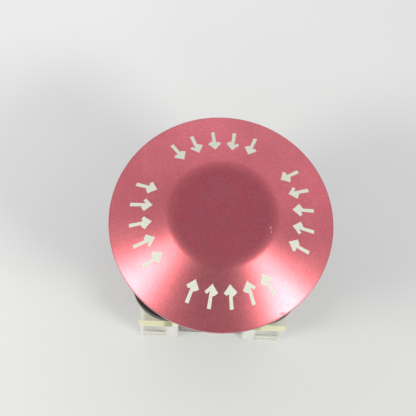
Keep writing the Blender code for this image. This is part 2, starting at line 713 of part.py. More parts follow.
def build_bridge(side, prefix, top, tips_up, group, finish):
    bridge = prism(bridge_outline(top, tips_up), -BRIDGE_HALF_WIDTH, BRIDGE_HALF_WIDTH, "x")
    piece(f"{prefix}_contact_bridge", bridge, finish["brass"], group, (side * PLUNGER_X, 0, 0))


def build_contact_spring(side, prefix, low, high, group, finish):
    spring = coil(*CONTACT_SPRING, low + 0.1, high - 0.1, 2.5, 12)
    piece(f"{prefix}_contact_spring", spring, finish["steel"], group, (side * PLUNGER_X, 0, 0))


def build_nc_contacts(plunger_group, bridge_group, finish):
    """The closed pair: a spring holds the bridge up against the fixed tips, and the plunger lifts it off."""
    window = (NC_BRIDGE_TOP - 2.8, NC_BRIDGE_TOP + 0.55)
    build_plunger(-1, "nc", window, plunger_group, finish)
    build_bridge(-1, "nc", NC_BRIDGE_TOP, True, bridge_group, finish)
    build_contact_spring(-1, "nc", window[0], NC_BRIDGE_TOP - BRIDGE_THICKNESS, plunger_group, finish)


def build_no_contacts(plunger_group, bridge_group, finish):
    """The open pair: the plunger carries the bridge down, and a spring presses it on the fixed tips."""
    window = (NO_BRIDGE_TOP - BRIDGE_THICKNESS - FIT, NO_BRIDGE_TOP + 2.3)
    build_plunger(1, "no", window, plunger_group, finish)
    build_bridge(1, "no", NO_BRIDGE_TOP, False, bridge_group, finish)
    build_contact_spring(1, "no", NO_BRIDGE_TOP, window[1], plunger_group, finish)


def build_return_spring(side, prefix, group, finish):
    low = REAR_FACE + BLOCK_COVER_THICKNESS + 0.1
    spring = coil(*RETURN_SPRING, low, PLUNGER_LOW - 0.1, 3.5, 14)
    piece(f"{prefix}_return_spring", spring, finish["steel"], group, (side * PLUNGER_X, 0, 0))


def build_contact_blocks(root, groups, finish):
    for side, prefix in ((-1, "nc"), (1, "no")):
        build_block_shell(side, prefix, root, finish)
        build_terminals(side, prefix, prefix == "nc", root, finish)
        build_return_spring(side, prefix, root, finish)
    build_nc_contacts(groups["nc_plunger"], groups["nc_bridge"], finish)
    build_no_contacts(groups["no_plunger"], groups["no_bridge"], finish)


# ---------------------------------------------------------------- assembly

def finishes():
    return {
        "red_anodised": material("red_anodised_aluminium", (0.50, 0.07, 0.10), 0.35, 1.0),
        "black_plastic": material("black_plastic", (0.03, 0.03, 0.03), 0.45),
        "white_plastic": material("white_plastic", (0.78, 0.77, 0.72), 0.5),
        "red_plastic": material("red_plastic", (0.55, 0.05, 0.04), 0.4),
        "green_plastic": material("green_plastic", (0.05, 0.32, 0.12), 0.4),
        "clear_plastic": material("clear_plastic", (0.82, 0.82, 0.68), 0.15),
        "rubber": material("rubber", (0.04, 0.04, 0.04), 0.8),
        "zinc": material("die_cast_zinc", (0.42, 0.42, 0.42), 0.45, 1.0),
        "steel": material("plated_steel", (0.6, 0.6, 0.58), 0.3, 1.0),
        "brass": material("brass", (0.72, 0.52, 0.22), 0.3, 1.0),
    }


def main():
    clear_scene()
    finish = finishes()
    root = body("fixed_parts")
    head = body("head_axis")
    groups = {
        "nc_plunger": body("nc_plunger_axis", (-PLUNGER_X, 0, 0)),
        "no_plunger": body("no_plunger_axis", (PLUNGER_X, 0, 0)),
        "nc_bridge": body("nc_bridge_axis", (-PLUNGER_X, 0, 0)),
        "no_bridge": body("no_bridge_axis", (PLUNGER_X, 0, 0)),
        "latch_springs": body("latch_springs_axis"),
    }
    build_head(head, finish)
    build_shaft(head, finish)
    build_panel_clamp(root, finish)
    build_bushing(root, finish)
    build_rear_housing(root, finish)
    build_latch_housing(root, finish)
    build_latch_fixings(root, finish)
    for side, name in ((-1, "lower"), (1, "upper")):
        pivot = body(f"latch_arm_{name}_pivot", (0, side * LATCH_PIN_Y, LATCH_PIN_Z))
        build_latch_arm(side, pivot, finish)
    build_latch_springs(groups["latch_springs"], finish)
    build_contact_blocks(root, groups, finish)


main()
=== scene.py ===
import math

import bmesh
import bpy
from mathutils import Euler, Matrix, Vector


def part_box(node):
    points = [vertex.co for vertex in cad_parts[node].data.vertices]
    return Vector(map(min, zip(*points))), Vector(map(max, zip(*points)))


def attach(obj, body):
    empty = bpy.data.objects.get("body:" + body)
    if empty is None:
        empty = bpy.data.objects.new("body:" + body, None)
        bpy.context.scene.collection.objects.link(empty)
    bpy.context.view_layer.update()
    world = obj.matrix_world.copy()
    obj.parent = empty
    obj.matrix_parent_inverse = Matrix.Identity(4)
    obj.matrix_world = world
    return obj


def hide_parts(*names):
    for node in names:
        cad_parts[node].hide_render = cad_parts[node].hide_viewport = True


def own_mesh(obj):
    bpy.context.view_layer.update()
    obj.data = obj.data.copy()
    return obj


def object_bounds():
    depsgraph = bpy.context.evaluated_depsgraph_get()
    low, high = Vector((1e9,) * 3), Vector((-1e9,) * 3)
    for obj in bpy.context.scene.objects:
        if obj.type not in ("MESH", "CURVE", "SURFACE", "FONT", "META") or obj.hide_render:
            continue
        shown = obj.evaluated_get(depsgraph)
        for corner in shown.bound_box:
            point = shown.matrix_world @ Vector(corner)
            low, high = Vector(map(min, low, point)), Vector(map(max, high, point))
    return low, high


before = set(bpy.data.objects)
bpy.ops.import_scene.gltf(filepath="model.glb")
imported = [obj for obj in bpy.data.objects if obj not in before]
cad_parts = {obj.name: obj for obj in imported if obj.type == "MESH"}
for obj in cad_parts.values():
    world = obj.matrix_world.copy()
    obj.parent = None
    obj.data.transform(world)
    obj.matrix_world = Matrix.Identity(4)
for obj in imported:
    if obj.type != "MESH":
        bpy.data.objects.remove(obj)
cad_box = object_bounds()

# Dimensions are in millimetres, as in the CAD, and each mesh is scaled to metres as it becomes a piece.
MM = 0.001
FIT = 0.15          # gap round a part that slides or is put in
BEYOND = 1          # how far a cutting tool reaches past what it cuts
FINE = 64           # segments of shafts and bushes
ROUND = 192         # segments of the large round parts
ENDS = ((-1, "lower"), (1, "upper"))


def mm_box(node):
    low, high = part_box(node)
    return low / MM, high / MM


# ---- mesh helpers

def arc(centre, radius, start, end, steps):
    """Points on an arc, with the angles in degrees and both ends included."""
    turns = [math.radians(start + (end - start) * i / steps) for i in range(steps + 1)]
    return [(centre[0] + radius * math.cos(a), centre[1] + radius * math.sin(a)) for a in turns]


def eased(points, radius, steps=3):
    """The closed outline with each corner rounded, except those on the axis, where the first number is 0."""
    longest_share = 0.42
    result = []
    count = len(points)
    for i in range(count):
        before, at, after = (Vector(points[(i + k) % count]) for k in (-1, 0, 1))
        if abs(at.x) < 1e-6:
            result.append(tuple(at))
            continue
        back, ahead = before - at, after - at
        reach_back = min(radius, longest_share * back.length)
        reach_ahead = min(radius, longest_share * ahead.length)
        one = at + back.normalized() * reach_back
        two = at + ahead.normalized() * reach_ahead
        for k in range(steps + 1):
            t = k / steps
            result.append(tuple((1 - t) ** 2 * one + 2 * t * (1 - t) * at + t * t * two))
    return result


def rounded_rectangle(half_u, half_v, radius, steps=10):
    outline = []
    corners = ((1, 1, 0), (-1, 1, 90), (-1, -1, 180), (1, -1, 270))
    for sign_u, sign_v, start in corners:
        centre = (sign_u * (half_u - radius), sign_v * (half_v - radius))
        outline += arc(centre, radius, start, start + 90, steps)
    return outline


def lathe(profile, segments=FINE, shape=None):
    """A closed solid of revolution about Z. shape(r, z, angle) may change a ring's radius round the turn."""
    bm = bmesh.new()
    rings = []
    for r, z in profile:
        if r < 1e-6:
            rings.append([bm.verts.new((0, 0, z))])
            continue
        ring = []
        for i in range(segments):
            turn = 2 * math.pi * i / segments
            radius = shape(r, z, turn) if shape else r
            ring.append(bm.verts.new((radius * math.cos(turn), radius * math.sin(turn), z)))
        rings.append(ring)
    solid_core = len(rings[0]) == 1 and len(rings[-1]) == 1
    after = rings[1:] if solid_core else rings[1:] + rings[:1]
    for one, two in zip(rings, after):
        for i in range(segments):
            j = (i + 1) % segments
            corners = [one[i % len(one)], two[i % len(two)], two[j % len(two)], one[j % len(one)]]
            corners = list(dict.fromkeys(corners))
            if len(corners) > 2:
                bm.faces.new(corners)
    bmesh.ops.recalc_face_normals(bm, faces=bm.faces)
    return bm


AXES = {
    "z": Matrix.Identity(4),
    "x": Matrix(((0, 0, 1, 0), (1, 0, 0, 0), (0, 1, 0, 0), (0, 0, 0, 1))),
}


def prism(outline, low, high, axis="z"):
    """An outline pushed along Z, or an outline in YZ pushed along X."""
    bm = bmesh.new()
    bottom = [bm.verts.new((u, v, low)) for u, v in outline]
    top = [bm.verts.new((u, v, high)) for u, v in outline]
    bm.faces.new(bottom)
    bm.faces.new(top)
    count = len(outline)
    for i in range(count):
        j = (i + 1) % count
        bm.faces.new([bottom[i], bottom[j], top[j], top[i]])
    bmesh.ops.recalc_face_normals(bm, faces=bm.faces)
    bm.transform(AXES[axis])
    return bm


def box(x_range, y_range, z_range):
    (x0, x1), (y0, y1), (z0, z1) = (sorted(r) for r in (x_range, y_range, z_range))
    return prism([(x0, y0), (x1, y0), (x1, y1), (x0, y1)], z0, z1)


def rod(radius, low, high, centre=(0, 0), axis="z", segments=40):
    outline = arc(centre, radius, 0, 360 - 360 / segments, segments - 1)
    return prism(outline, low, high, axis)


def hole(radius, low, high, centre=(0, 0), axis="z", segments=32):
    """A cutter for a round hole right through, from low to high."""
    return rod(radius, low - BEYOND, high + BEYOND, centre, axis, segments)


def moved(bm, at=(0, 0, 0), rotation=(0, 0, 0)):
    bm.transform(Matrix.Translation(at) @ Euler(rotation).to_matrix().to_4x4())
    return bm


def combined(bm, shapes, operation):
    """bm cut by, or joined with, each of the shapes."""
    base = bpy.data.objects.new("base", bpy.data.meshes.new("base"))
    bm.to_mesh(base.data)
    bm.free()
    bpy.context.collection.objects.link(base)
    tools = []
    for shape in shapes:
        tool = bpy.data.objects.new("tool", bpy.data.meshes.new("tool"))
        shape.to_mesh(tool.data)
        shape.free()
        bpy.context.collection.objects.link(tool)
        modifier = base.modifiers.new("combine", "BOOLEAN")
        modifier.operation = operation
        modifier.solver = "EXACT"
        modifier.object = tool
        tools.append(tool)
    result = bmesh.new()
    result.from_object(base, bpy.context.evaluated_depsgraph_get())
    for obj in [base] + tools:
        mesh = obj.data
        bpy.data.objects.remove(obj)
        bpy.data.meshes.remove(mesh)
    bmesh.ops.remove_doubles(result, verts=result.verts, dist=1e-4)
    bmesh.ops.dissolve_limit(
        result, angle_limit=math.radians(0.5), verts=result.verts, edges=result.edges, delimit={"NORMAL"}
    )
    return result


def cut(bm, *shapes):
    return combined(bm, shapes, "DIFFERENCE")


def joined(bm, *shapes):
    return combined(bm, shapes, "UNION")


def wire(path, radius, sides=10):
    """A round wire along a list of points, with capped ends."""
    bm = bmesh.new()
    rings = []
    count = len(path)
    for i in range(count):
        along = (path[min(i + 1, count - 1)] - path[max(i - 1, 0)]).normalized()
        outward = Vector((path[i].x, path[i].y, 0)).normalized()
        across = along.cross(outward).normalized()
        outward = across.cross(along)
        ring = []
        for k in range(sides):
            turn = 2 * math.pi * k / sides
            ring.append(bm.verts.new(path[i] + radius * (math.cos(turn) * outward + math.sin(turn) * across)))
        rings.append(ring)
    for ring, after in zip(rings, rings[1:]):
        for k in range(sides):
            m = (k + 1) % sides
            bm.faces.new([ring[k], ring[m], after[m], after[k]])
    bm.faces.new(rings[0][::-1])
    bm.faces.new(rings[-1])
    bmesh.ops.recalc_face_normals(bm, faces=bm.faces)
    return bm


def spring(radius, wire_radius, low, high, turns, per_turn=28):
    """A compression spring about Z, whose first and last turns lie flat."""
    count = round(turns * per_turn)
    flat, flat_rise, easing = 0.75, 0.3 * wire_radius, 0.35
    span = high - low - 2 * (wire_radius + flat_rise)
    path = []
    for i in range(count + 1):
        turn = i / per_turn
        share = min(1, max(0, (turn - flat) / (turns - 2 * flat)))
        eased_share = share * share * (3 - 2 * share) * easing + share * (1 - easing)
        start_rise = flat_rise * min(turn, flat) / flat
        end_rise = flat_rise * max(0, turn - (turns - flat)) / flat
        z = low + wire_radius + start_rise + span * eased_share + end_rise
        angle = 2 * math.pi * turn
        path.append(Vector((radius * math.cos(angle), radius * math.sin(angle), z)))
    return wire(path, wire_radius)


def thread_shape(nominal, pitch, depth, low, high):
    """A V thread cut into a cylinder of the nominal radius between two heights, run out at both ends."""
    def shape(r, z, turn):
        if r < nominal - depth or z < low or z > high:
            return r
        phase = (z / pitch - turn / (2 * math.pi)) % 1.0
        ridge = abs(2 * phase - 1)
        flank = min(1.0, max(0.0, (ridge - 0.12) / 0.76))
        fade = min(1.0, (z - low) / pitch, (high - z) / pitch)
        return r - depth * flank * max(0.0, fade)
    return shape


def threaded(nominal, low, high, pitch, samples=6):
    """Profile points up a threaded length."""
    count = max(2, round((high - low) / pitch * samples))
    return [(nominal, low + (high - low) * i / count) for i in range(count + 1)]


def screw(length, shank, head, head_height, drive, pitch=0.7, tip=0.4):
    """A screw along +Z whose head's outer face is at z = 0. drive is slot, cross or hex."""
    headed = head > shank + 0.05
    profile = [(0, 0)]
    if headed:
        rim = min(0.45, head_height * 0.35)
        profile += [(head - rim, 0), (head - rim * 0.3, rim * 0.3), (head, rim), (head, head_height - 0.12)]
        profile += [(head - 0.12, head_height), (shank + 0.15, head_height), (shank, head_height + 0.15)]
        start = head_height + 0.5
    else:
        profile += [(head - 0.15, 0), (head, 0.15)]
        start = 0.4
    profile += threaded(shank, start, length - tip, pitch)
    profile += [(shank - tip * 0.8, length), (0, length)]
    depth = min(0.28, pitch * 0.4)
    body = lathe(profile, 40, thread_shape(shank, pitch, depth, start, length - tip))
    width = max(0.32, head * 0.26)
    deep = min(head_height * 0.62, 1.1) if headed else 0.7
    if drive == "hex":
        hexagon = arc((0, 0), head * 0.58, 0, 300, 5)
        return cut(body, prism(hexagon, -BEYOND, 1.2))
    reach = head + 1 if drive == "slot" else head * 0.68
    tools = [box((-reach, reach), (-width / 2, width / 2), (-BEYOND, deep))]
    if drive == "cross":
        tools.append(box((-width / 2, width / 2), (-reach, reach), (-BEYOND, deep)))
    return cut(body, *tools)


def copy_of(bm, at=(0, 0, 0), rotation=(0, 0, 0)):
    return moved(bm.copy(), at, rotation)


def sleeve(node, bore, rounding, segments=FINE):
    """A plain ring with the node's outer radius and height."""
    low, high = mm_box(node)
    profile = [(bore, low.z), (high.x, low.z), (high.x, high.z), (bore, high.z)]
    return lathe(eased(profile, rounding), segments)


def slab(node, corner, steps=4):
    """A plate as long, wide and high as the node, with rounded corners."""
    low, high = mm_box(node)
    middle, half = (low + high) / 2, (high - low) / 2
    plate = prism(rounded_rectangle(half.x, half.y, corner, steps), low.z, high.z)
    return moved(plate, (middle.x, middle.y, 0))


def mirrored(place, across, along):
    return across * place[0], along * place[1]


def piece(name, bm, finish, body, *nodes, slot=None, edge=0.0, steps=2, smooth=32):
    """An object of the mesh, with its edges rounded by edge mm, that stands for the CAD nodes."""
    mesh = bpy.data.meshes.new(name)
    bm.transform(Matrix.Scale(MM, 4))
    bm.to_mesh(mesh)
    bm.free()
    mesh.polygons.foreach_set("use_smooth", [True] * len(mesh.polygons))
    mesh.set_sharp_from_angle(angle=math.radians(smooth))
    obj = bpy.data.objects.new(name, mesh)
    bpy.context.collection.objects.link(obj)
    obj.data.materials.append(finish)
    if edge:
        bevel = obj.modifiers.new("edges", "BEVEL")
        bevel.width = edge * MM
        bevel.segments = steps
        bevel.limit_method = "ANGLE"
        bevel.angle_limit = math.radians(35)
        bevel.harden_normals = True
    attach(obj, body)
    if nodes:
        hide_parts(*nodes)
    return obj


# ---- finishes

class Tree:
    """A node tree, with short calls for the nodes used here."""

    def __init__(self, owner):
        owner.use_nodes = True
        self.tree = owner.node_tree

    def new(self, kind, **settings):
        node = self.tree.nodes.new(kind)
        for key, value in settings.items():
            setattr(node, key, value)
        return node

    def feed(self, socket, value):
        """The value is a number, a tuple or another node's output."""
        if isinstance(value, (int, float, tuple)):
            socket.default_value = value
        else:
            self.tree.links.new(value, socket)

    def fill(self, node, **values):
        """Feeds the node's inputs by name, with _ for a space."""
        for name, value in values.items():
            self.feed(node.inputs[name.replace("_", " ")], value)

    def math(self, operation, *values, kind="ShaderNodeMath", output=0):
        node = self.new(kind, operation=operation)
        for socket, value in zip(node.inputs, values):
            self.feed(socket, value)
        return node.outputs[output]

    def times(self, one, two):
        return self.math("MULTIPLY", one, two)

    def ramp(self, value, low, high, to_low=0.0, to_high=1.0, smooth=True):
        """value's range from low to high taken to another range, and clamped."""
        node = self.new("ShaderNodeMapRange", interpolation_type="SMOOTHSTEP" if smooth else "LINEAR")
        self.fill(node, Value=value, From_Min=low, From_Max=high, To_Min=to_low, To_Max=to_high)
        return node.outputs["Result"]


class Nodes(Tree):
    """A material. Lengths are in millimetres."""

    def __init__(self, name):
        self.material = bpy.data.materials.new(name + "_finish")
        super().__init__(self.material)
        self.bsdf = self.tree.nodes["Principled BSDF"]
        self.place = self.new("ShaderNodeTexCoord").outputs["Object"]

    def noise(self, size, detail=2.0, roughness=0.5, stretch=None, seed=0.0):
        """Noise from 0 to 1 with features of about that size."""
        place = self.place
        if stretch:
            mapping = self.new("ShaderNodeMapping")
            self.fill(mapping, Scale=stretch, Vector=place)
            place = mapping.outputs["Vector"]
        node = self.new("ShaderNodeTexNoise", noise_dimensions="4D")
        self.fill(node, Scale=1 / (size * MM), Detail=detail, Roughness=roughness, W=seed, Vector=place)
        return node.outputs["Fac"]

    def mix(self, share, one, two):
        node = self.new("ShaderNodeMix", data_type="RGBA")
        colours = [s for s in node.inputs if s.type == "RGBA"]
        self.feed(node.inputs["Factor"], share)
        for socket, value in zip(colours, (one, two)):
            self.feed(socket, (*value, 1.0) if isinstance(value, tuple) else value)
        return [s for s in node.outputs if s.type == "RGBA"][0]

    def xyz(self):
        split = self.new("ShaderNodeSeparateXYZ")
        self.fill(split, Vector=self.place)
        return split.outputs

    def radius(self):
        """Distance from the button's axis, in millimetres."""
        x, y, _ = self.xyz()
        square = self.math("ADD", self.times(x, x), self.times(y, y))
        return self.times(self.math("SQRT", square), 1 / MM)

    def near(self, value, at, reach):
        """1 where the value is at a number, falling to 0 within reach of it."""
        return self.ramp(self.math("ABSOLUTE", self.math("SUBTRACT", value, at)), 0.0, reach, 1.0, 0.0)

    def scaled(self, colour, level):
        node = self.new("ShaderNodeVectorMath", operation="SCALE")
        self.fill(node, Vector=colour, Scale=level)
        return node.outputs["Vector"]

    def spot(self, centre, half, soft):
        """1 inside a small upright rectangle seen from above, with a soft edge. Sizes are in millimetres."""
        shares = []
        for place, at, reach in zip(self.xyz(), centre, half):
            distance = self.math("ABSOLUTE", self.math("SUBTRACT", place, at * MM))
            shares.append(self.ramp(distance, (reach - soft) * MM, (reach + soft) * MM, 1.0, 0.0))
        return self.times(*shares)

    def bump(self, height, depth, strength=1.0, before=None):
        """Relief of about depth mm."""
        node = self.new("ShaderNodeBump")
        self.fill(node, Strength=strength, Distance=depth * MM, Height=height)
        if before:
            self.fill(node, Normal=before)
        return node.outputs["Normal"]

    def finish(self, colour, roughness, normal, **settings):
        self.fill(self.bsdf, Base_Color=colour, Roughness=roughness, Normal=normal, **settings)
        return self.material


def plain_finish(name, light, dark, roughness, grain, relief, mottle=4.0, spread=0.06, **settings):
    """Two close tones in soft mottling, with a fine surface grain that also varies the gloss."""
    n = Nodes(name)
    fine = n.noise(grain, 3.0, 0.6)
    soft = n.noise(mottle, 3.0, 0.55, seed=3.1)
    tone = n.math("ADD", n.times(soft, 0.7), n.times(fine, 0.3))
    colour = n.mix(n.ramp(tone, 0.35, 0.65), dark, light)
    gloss = n.ramp(fine, 0.3, 0.7, roughness - spread, roughness + spread)
    return n.finish(colour, gloss, n.bump(fine, relief), **settings)


def anodised_head():
    """Bead-blasted aluminium under a red dye: a fine grain, a deeper tone over the crown, painted shade in a
    ring where the crown rounds into the cone and in a thin ring along the rim's edge, and a nick in the rim.
    """
    n = Nodes("red_anodised_aluminium")
    radius = n.radius()
    grain = n.noise(0.22, 3.0, 0.7)
    coarse = n.noise(0.6, 2.0, 0.6, seed=1.7)
    soft = n.noise(9.0, 3.0, 0.5, seed=4.2)
    tone = n.math("ADD", n.times(grain, 0.3), n.times(soft, 0.7))
    dyed = n.mix(n.ramp(tone, 0.3, 0.7), (0.53, 0.076, 0.113), (0.62, 0.110, 0.153))
    crown = n.ramp(radius, 11.5, 13.0, 1.0, 0.0)
    blotches = n.ramp(n.noise(3.2, 5.0, 0.62, seed=7.3), 0.42, 0.62)
    dyed = n.mix(n.times(crown, 0.6), dyed, (0.58, 0.050, 0.105))
    dyed = n.mix(n.times(crown, n.times(blotches, 0.6)), dyed, (0.52, 0.088, 0.135))
    dyed = n.scaled(dyed, n.ramp(n.noise(0.55, 3.0, 0.75, seed=5.6), 0.35, 0.65, 0.88, 1.11))
    specks = n.ramp(n.noise(0.9, 2.0, 0.5, seed=9.1), 0.70, 0.74)
    dyed = n.mix(n.times(crown, specks), dyed, (0.36, 0.03, 0.055))
    # Painted shade: a darker soft ring where the crown rounds into the cone.
    dyed = n.mix(n.times(n.near(radius, 13.2, 1.5), 0.5), dyed, (0.53, 0.055, 0.085))
    # Painted shade: a darker thin ring along the rim's rounded edge.
    dyed = n.mix(n.times(n.near(radius, 28.42, 0.22), 0.6), dyed, (0.42, 0.05, 0.075))
    for place, size in (((11.85, -3.3), (0.09, 0.34)), ((12.05, -4.35), (0.08, 0.24))):
        dyed = n.mix(n.spot(place, size, 0.12), dyed, (0.90, 0.70, 0.70))
    dyed = n.mix(n.spot((15.7, -23.3), (0.45, 0.3), 0.4), dyed, (0.30, 0.01, 0.03))
    gloss = n.ramp(grain, 0.25, 0.75, 0.26, 0.37)
    relief = n.bump(coarse, 0.012, 0.2, n.bump(grain, 0.012, 0.42))
    return n.finish(dyed, gloss, relief, Metallic=1.0, Coat_Weight=1.0, Coat_IOR=1.65, Coat_Roughness=0.42)


def marking_ink():
    n = Nodes("pale_marking_ink")
    fine = n.noise(0.25, 3.0, 0.6)
    colour = n.mix(n.ramp(fine, 0.3, 0.7), (0.58, 0.585, 0.53), (0.68, 0.685, 0.625))
    return n.finish(colour, n.ramp(fine, 0.3, 0.7, 0.42, 0.55), n.bump(fine, 0.006, 0.6))


def clear_plastic():
    """Clear polycarbonate: see-through faces, a pale yellow front edge and a line round each wire window."""
    n = Nodes("clear_plastic")
    x, y, z = n.xyz()
    across = n.math("ABSOLUTE", x)
    along = n.math("ABSOLUTE", y)
    end_wall = n.ramp(along, 19.2 * MM, 19.45 * MM)
    front_edge = n.ramp(z, -21.9 * MM, -21.3 * MM)
    wall_edge = n.times(end_wall, front_edge)
    flow = n.noise(5.0, 2.0, 0.5, (1.0, 0.35, 0.6))
    fine = n.noise(0.5, 2.0, 0.5, seed=2.3)
    clear = n.mix(n.ramp(flow, 0.3, 0.7), (0.78, 0.775, 0.69), (0.85, 0.845, 0.77))
    inner = n.ramp(across, 12.6 * MM, 14.6 * MM, 1.0, 0.0)
    yellow = n.mix(inner, (0.86, 0.845, 0.60), (0.46, 0.44, 0.26))
    yellow = n.mix(n.ramp(across, 11.0 * MM, 11.8 * MM, 1.0, 0.0), yellow, (0.92, 0.92, 0.82))
    colour = n.mix(wall_edge, clear, yellow)
    past_window = []
    for place, middle, half in ((across, 16.4, 3.4), (z, -31.6, 4.0)):
        from_middle = n.math("ABSOLUTE", n.math("SUBTRACT", place, middle * MM))
        past_window.append(n.math("SUBTRACT", from_middle, half * MM))
    to_frame = n.math("ABSOLUTE", n.math("MAXIMUM", *past_window))
    outer_face = n.ramp(along, 20.4 * MM, 20.6 * MM)
    frame_line = n.times(n.ramp(to_frame, 0.05 * MM, 0.4 * MM, 1.0, 0.0), outer_face)
    colour = n.mix(frame_line, colour, (0.55, 0.54, 0.38))
    facing = n.new("ShaderNodeLayerWeight")
    n.fill(facing, Blend=0.3)
    cover = n.ramp(facing.outputs["Facing"], 0.0, 1.0, 0.26, 0.62)
    cover = n.math("ADD", cover, n.times(front_edge, 0.22))
    alpha = n.math("MAXIMUM", cover, n.times(wall_edge, 0.93))
    alpha = n.math("MAXIMUM", alpha, n.times(frame_line, 0.7))
    gloss = n.ramp(fine, 0.3, 0.7, 0.10, 0.18)
    return n.finish(colour, gloss, n.bump(flow, 0.05, 0.35), Alpha=alpha, IOR=1.58)


def finishes():
    plastics = {
        "black": ("black_plastic", (0.036, 0.030, 0.027), (0.018, 0.014, 0.014), 0.50, 0.30, 0.02),
        "white": ("white_plastic", (0.80, 0.79, 0.74), (0.72, 0.71, 0.66), 0.5, 0.4, 0.01),
        "plunger_red": ("red_plastic", (0.60, 0.055, 0.045), (0.48, 0.035, 0.03), 0.4, 0.3, 0.01),
        "plunger_green": ("green_plastic", (0.06, 0.36, 0.14), (0.04, 0.27, 0.10), 0.4, 0.3, 0.01),
        "rubber": ("rubber", (0.045, 0.045, 0.043), (0.025, 0.025, 0.025), 0.78, 0.25, 0.03),
    }
    metals = {
        "zinc": ("die_cast_zinc", (0.38, 0.375, 0.36), (0.27, 0.265, 0.25), 0.46, 0.35, 0.014, 2.5),
        "steel": ("plated_steel", (0.70, 0.69, 0.66), (0.58, 0.575, 0.55), 0.27, 0.18, 0.002, 2.0, 0.04),
        "brass": ("brass", (0.80, 0.60, 0.28), (0.66, 0.45, 0.18), 0.27, 0.25, 0.003, 2.0),
    }
    result = {"red": anodised_head(), "ink": marking_ink(), "clear": clear_plastic()}
    for name, values in plastics.items():
        result[name] = plain_finish(*values)
    for name, values in metals.items():
        result[name] = plain_finish(*values, Metallic=1.0)
    return result


# ---- head

HEAD_LOW, HEAD_HIGH = mm_box("palm_head")
HEAD_RADIUS = HEAD_HIGH.x
RIM_LOW = 13.65
RIM_TOP = RIM_LOW + 1.35
RIM_ROUND = 0.25
CONE_ANGLE = math.radians(23.5)
CROWN_RADIUS = 10.5
CROWN_EDGE_ROUND = 9.5
CONE_WALL = 1.7
CROWN_WALL = 2.6
HUB_RADIUS = 8.0
STUD_RADIUS = 4.0
STUD_HOLE_TOP = 18.6
SET_SCREW_HOLE_START = 2.0


def cone_height(radius):
    return RIM_TOP + (HEAD_RADIUS - RIM_ROUND - radius) * math.tan(CONE_ANGLE)


def head_profile():
    slope = math.degrees(CONE_ANGLE)
    cone_top_radius = CROWN_RADIUS + CROWN_EDGE_ROUND * math.sin(CONE_ANGLE)
    crown = cone_height(cone_top_radius) + CROWN_EDGE_ROUND * (1 - math.cos(CONE_ANGLE))
    drop = CONE_WALL / math.cos(CONE_ANGLE)
    ceiling = crown - CROWN_WALL

    def inner_radius(height):
        return HEAD_RADIUS - RIM_ROUND - (height + drop - RIM_TOP) / math.tan(CONE_ANGLE)

    edge = arc((CROWN_RADIUS, crown - CROWN_EDGE_ROUND), CROWN_EDGE_ROUND, 90, 90 - slope, 14)
    rim_top_edge = arc((HEAD_RADIUS - RIM_ROUND, RIM_TOP - RIM_ROUND), RIM_ROUND, 90 - slope, 0, 5)
    rim_low_edge = arc((HEAD_RADIUS - RIM_ROUND, RIM_LOW + RIM_ROUND), RIM_ROUND, 0, -90, 5)
    steps_down_cone = 6
    cone = [
        tuple(a + (b - a) * i / steps_down_cone for a, b in zip(edge[-1], rim_top_edge[0]))
        for i in range(1, steps_down_cone)
    ]
    inside = eased([
        (inner_radius(RIM_LOW), RIM_LOW),
        (inner_radius(ceiling), ceiling),
        (HUB_RADIUS, ceiling),
        (HUB_RADIUS, HEAD_LOW.z),
        (STUD_RADIUS + FIT, HEAD_LOW.z),
        (STUD_RADIUS + FIT, STUD_HOLE_TOP),
        (0, STUD_HOLE_TOP),
        (0, RIM_LOW),
    ], 0.5)
    inside = [p for p in inside if p[1] > HEAD_LOW.z - 0.01][:-1]
    middle_of_crown = 6.0
    return [(0, crown), (middle_of_crown, crown), *edge, *cone, *rim_top_edge, *rim_low_edge, *inside]


def marking_outline():
    """A line arrow that points to the crown, for push. v is outward and u along the turn."""
    half_stroke, reach = 0.42, 2.9
    barb = Vector((1.75, 2.0))
    tip = Vector((0, -reach))
    end = tip + barb
    inner_end = end + Vector((-barb.y, barb.x)).normalized() * 2 * half_stroke
    meet = inner_end - barb * ((inner_end.x - half_stroke) / barb.x)
    right = [(half_stroke, reach), tuple(meet), tuple(inner_end), tuple(end)]
    return right + [tuple(tip)] + [(-u, v) for u, v in reversed(right)]


def densified(outline, longest):
    result = []
    for i, one in enumerate(outline):
        two = outline[(i + 1) % len(outline)]
        count = max(1, math.ceil(math.dist(one, two) / longest))
        for k in range(count):
            result.append(tuple(a + (b - a) * k / count for a, b in zip(one, two)))
    return result


def marking_mesh():
    """Four groups of printed marks, laid on the cone."""
    middle_radius = 20.5
    first, pitch, per_group = 7.5, 13.8, 5
    proud, sunk = 0.03, 0.06
    outline = densified(marking_outline(), 0.6)
    bm = bmesh.new()
    for group in range(4):
        for k in range(per_group):
            centre = math.radians(first + 90 * group + pitch * (k - (per_group - 1) / 2))
            top, bottom = [], []
            for u, v in outline:
                radius = middle_radius + v
                turn = centre + u / middle_radius
                x, y, z = radius * math.cos(turn), radius * math.sin(turn), cone_height(radius)
                top.append(bm.verts.new((x, y, z + proud)))
                bottom.append(bm.verts.new((x, y, z - sunk)))
            bm.faces.new(top)
            bm.faces.new(bottom[::-1])
            count = len(outline)
            for i in range(count):
                j = (i + 1) % count
                bm.faces.new([top[i], bottom[i], bottom[j], top[j]])
    bmesh.ops.triangulate(bm, faces=[f for f in bm.faces if len(f.verts) > 4])
    bmesh.ops.recalc_face_normals(bm, faces=bm.faces)
    return bm


def build_head(finish):
    set_low, set_high = mm_box("head_set_screw")
    height = (set_low.z + set_high.z) / 2
    shell = lathe(head_profile(), 256)
    hole = rod(set_high.y + FIT, SET_SCREW_HOLE_START, HUB_RADIUS + BEYOND, (0, height), "x", 48)
    shell = cut(shell, hole)
    piece("head", shell, finish["red"], "push_head", "palm_head")
    piece("head_markings", marking_mesh(), finish["ink"], "push_head", slot="white_plastic", smooth=20)

    grub = screw(set_high.x - set_low.x, set_high.y, set_high.y, 0.0, "hex", 0.5)
    moved(grub, (set_high.x, 0, height), (0, -math.pi / 2, 0))
    piece("set_screw", grub, finish["steel"], "push_head", "head_set_screw")


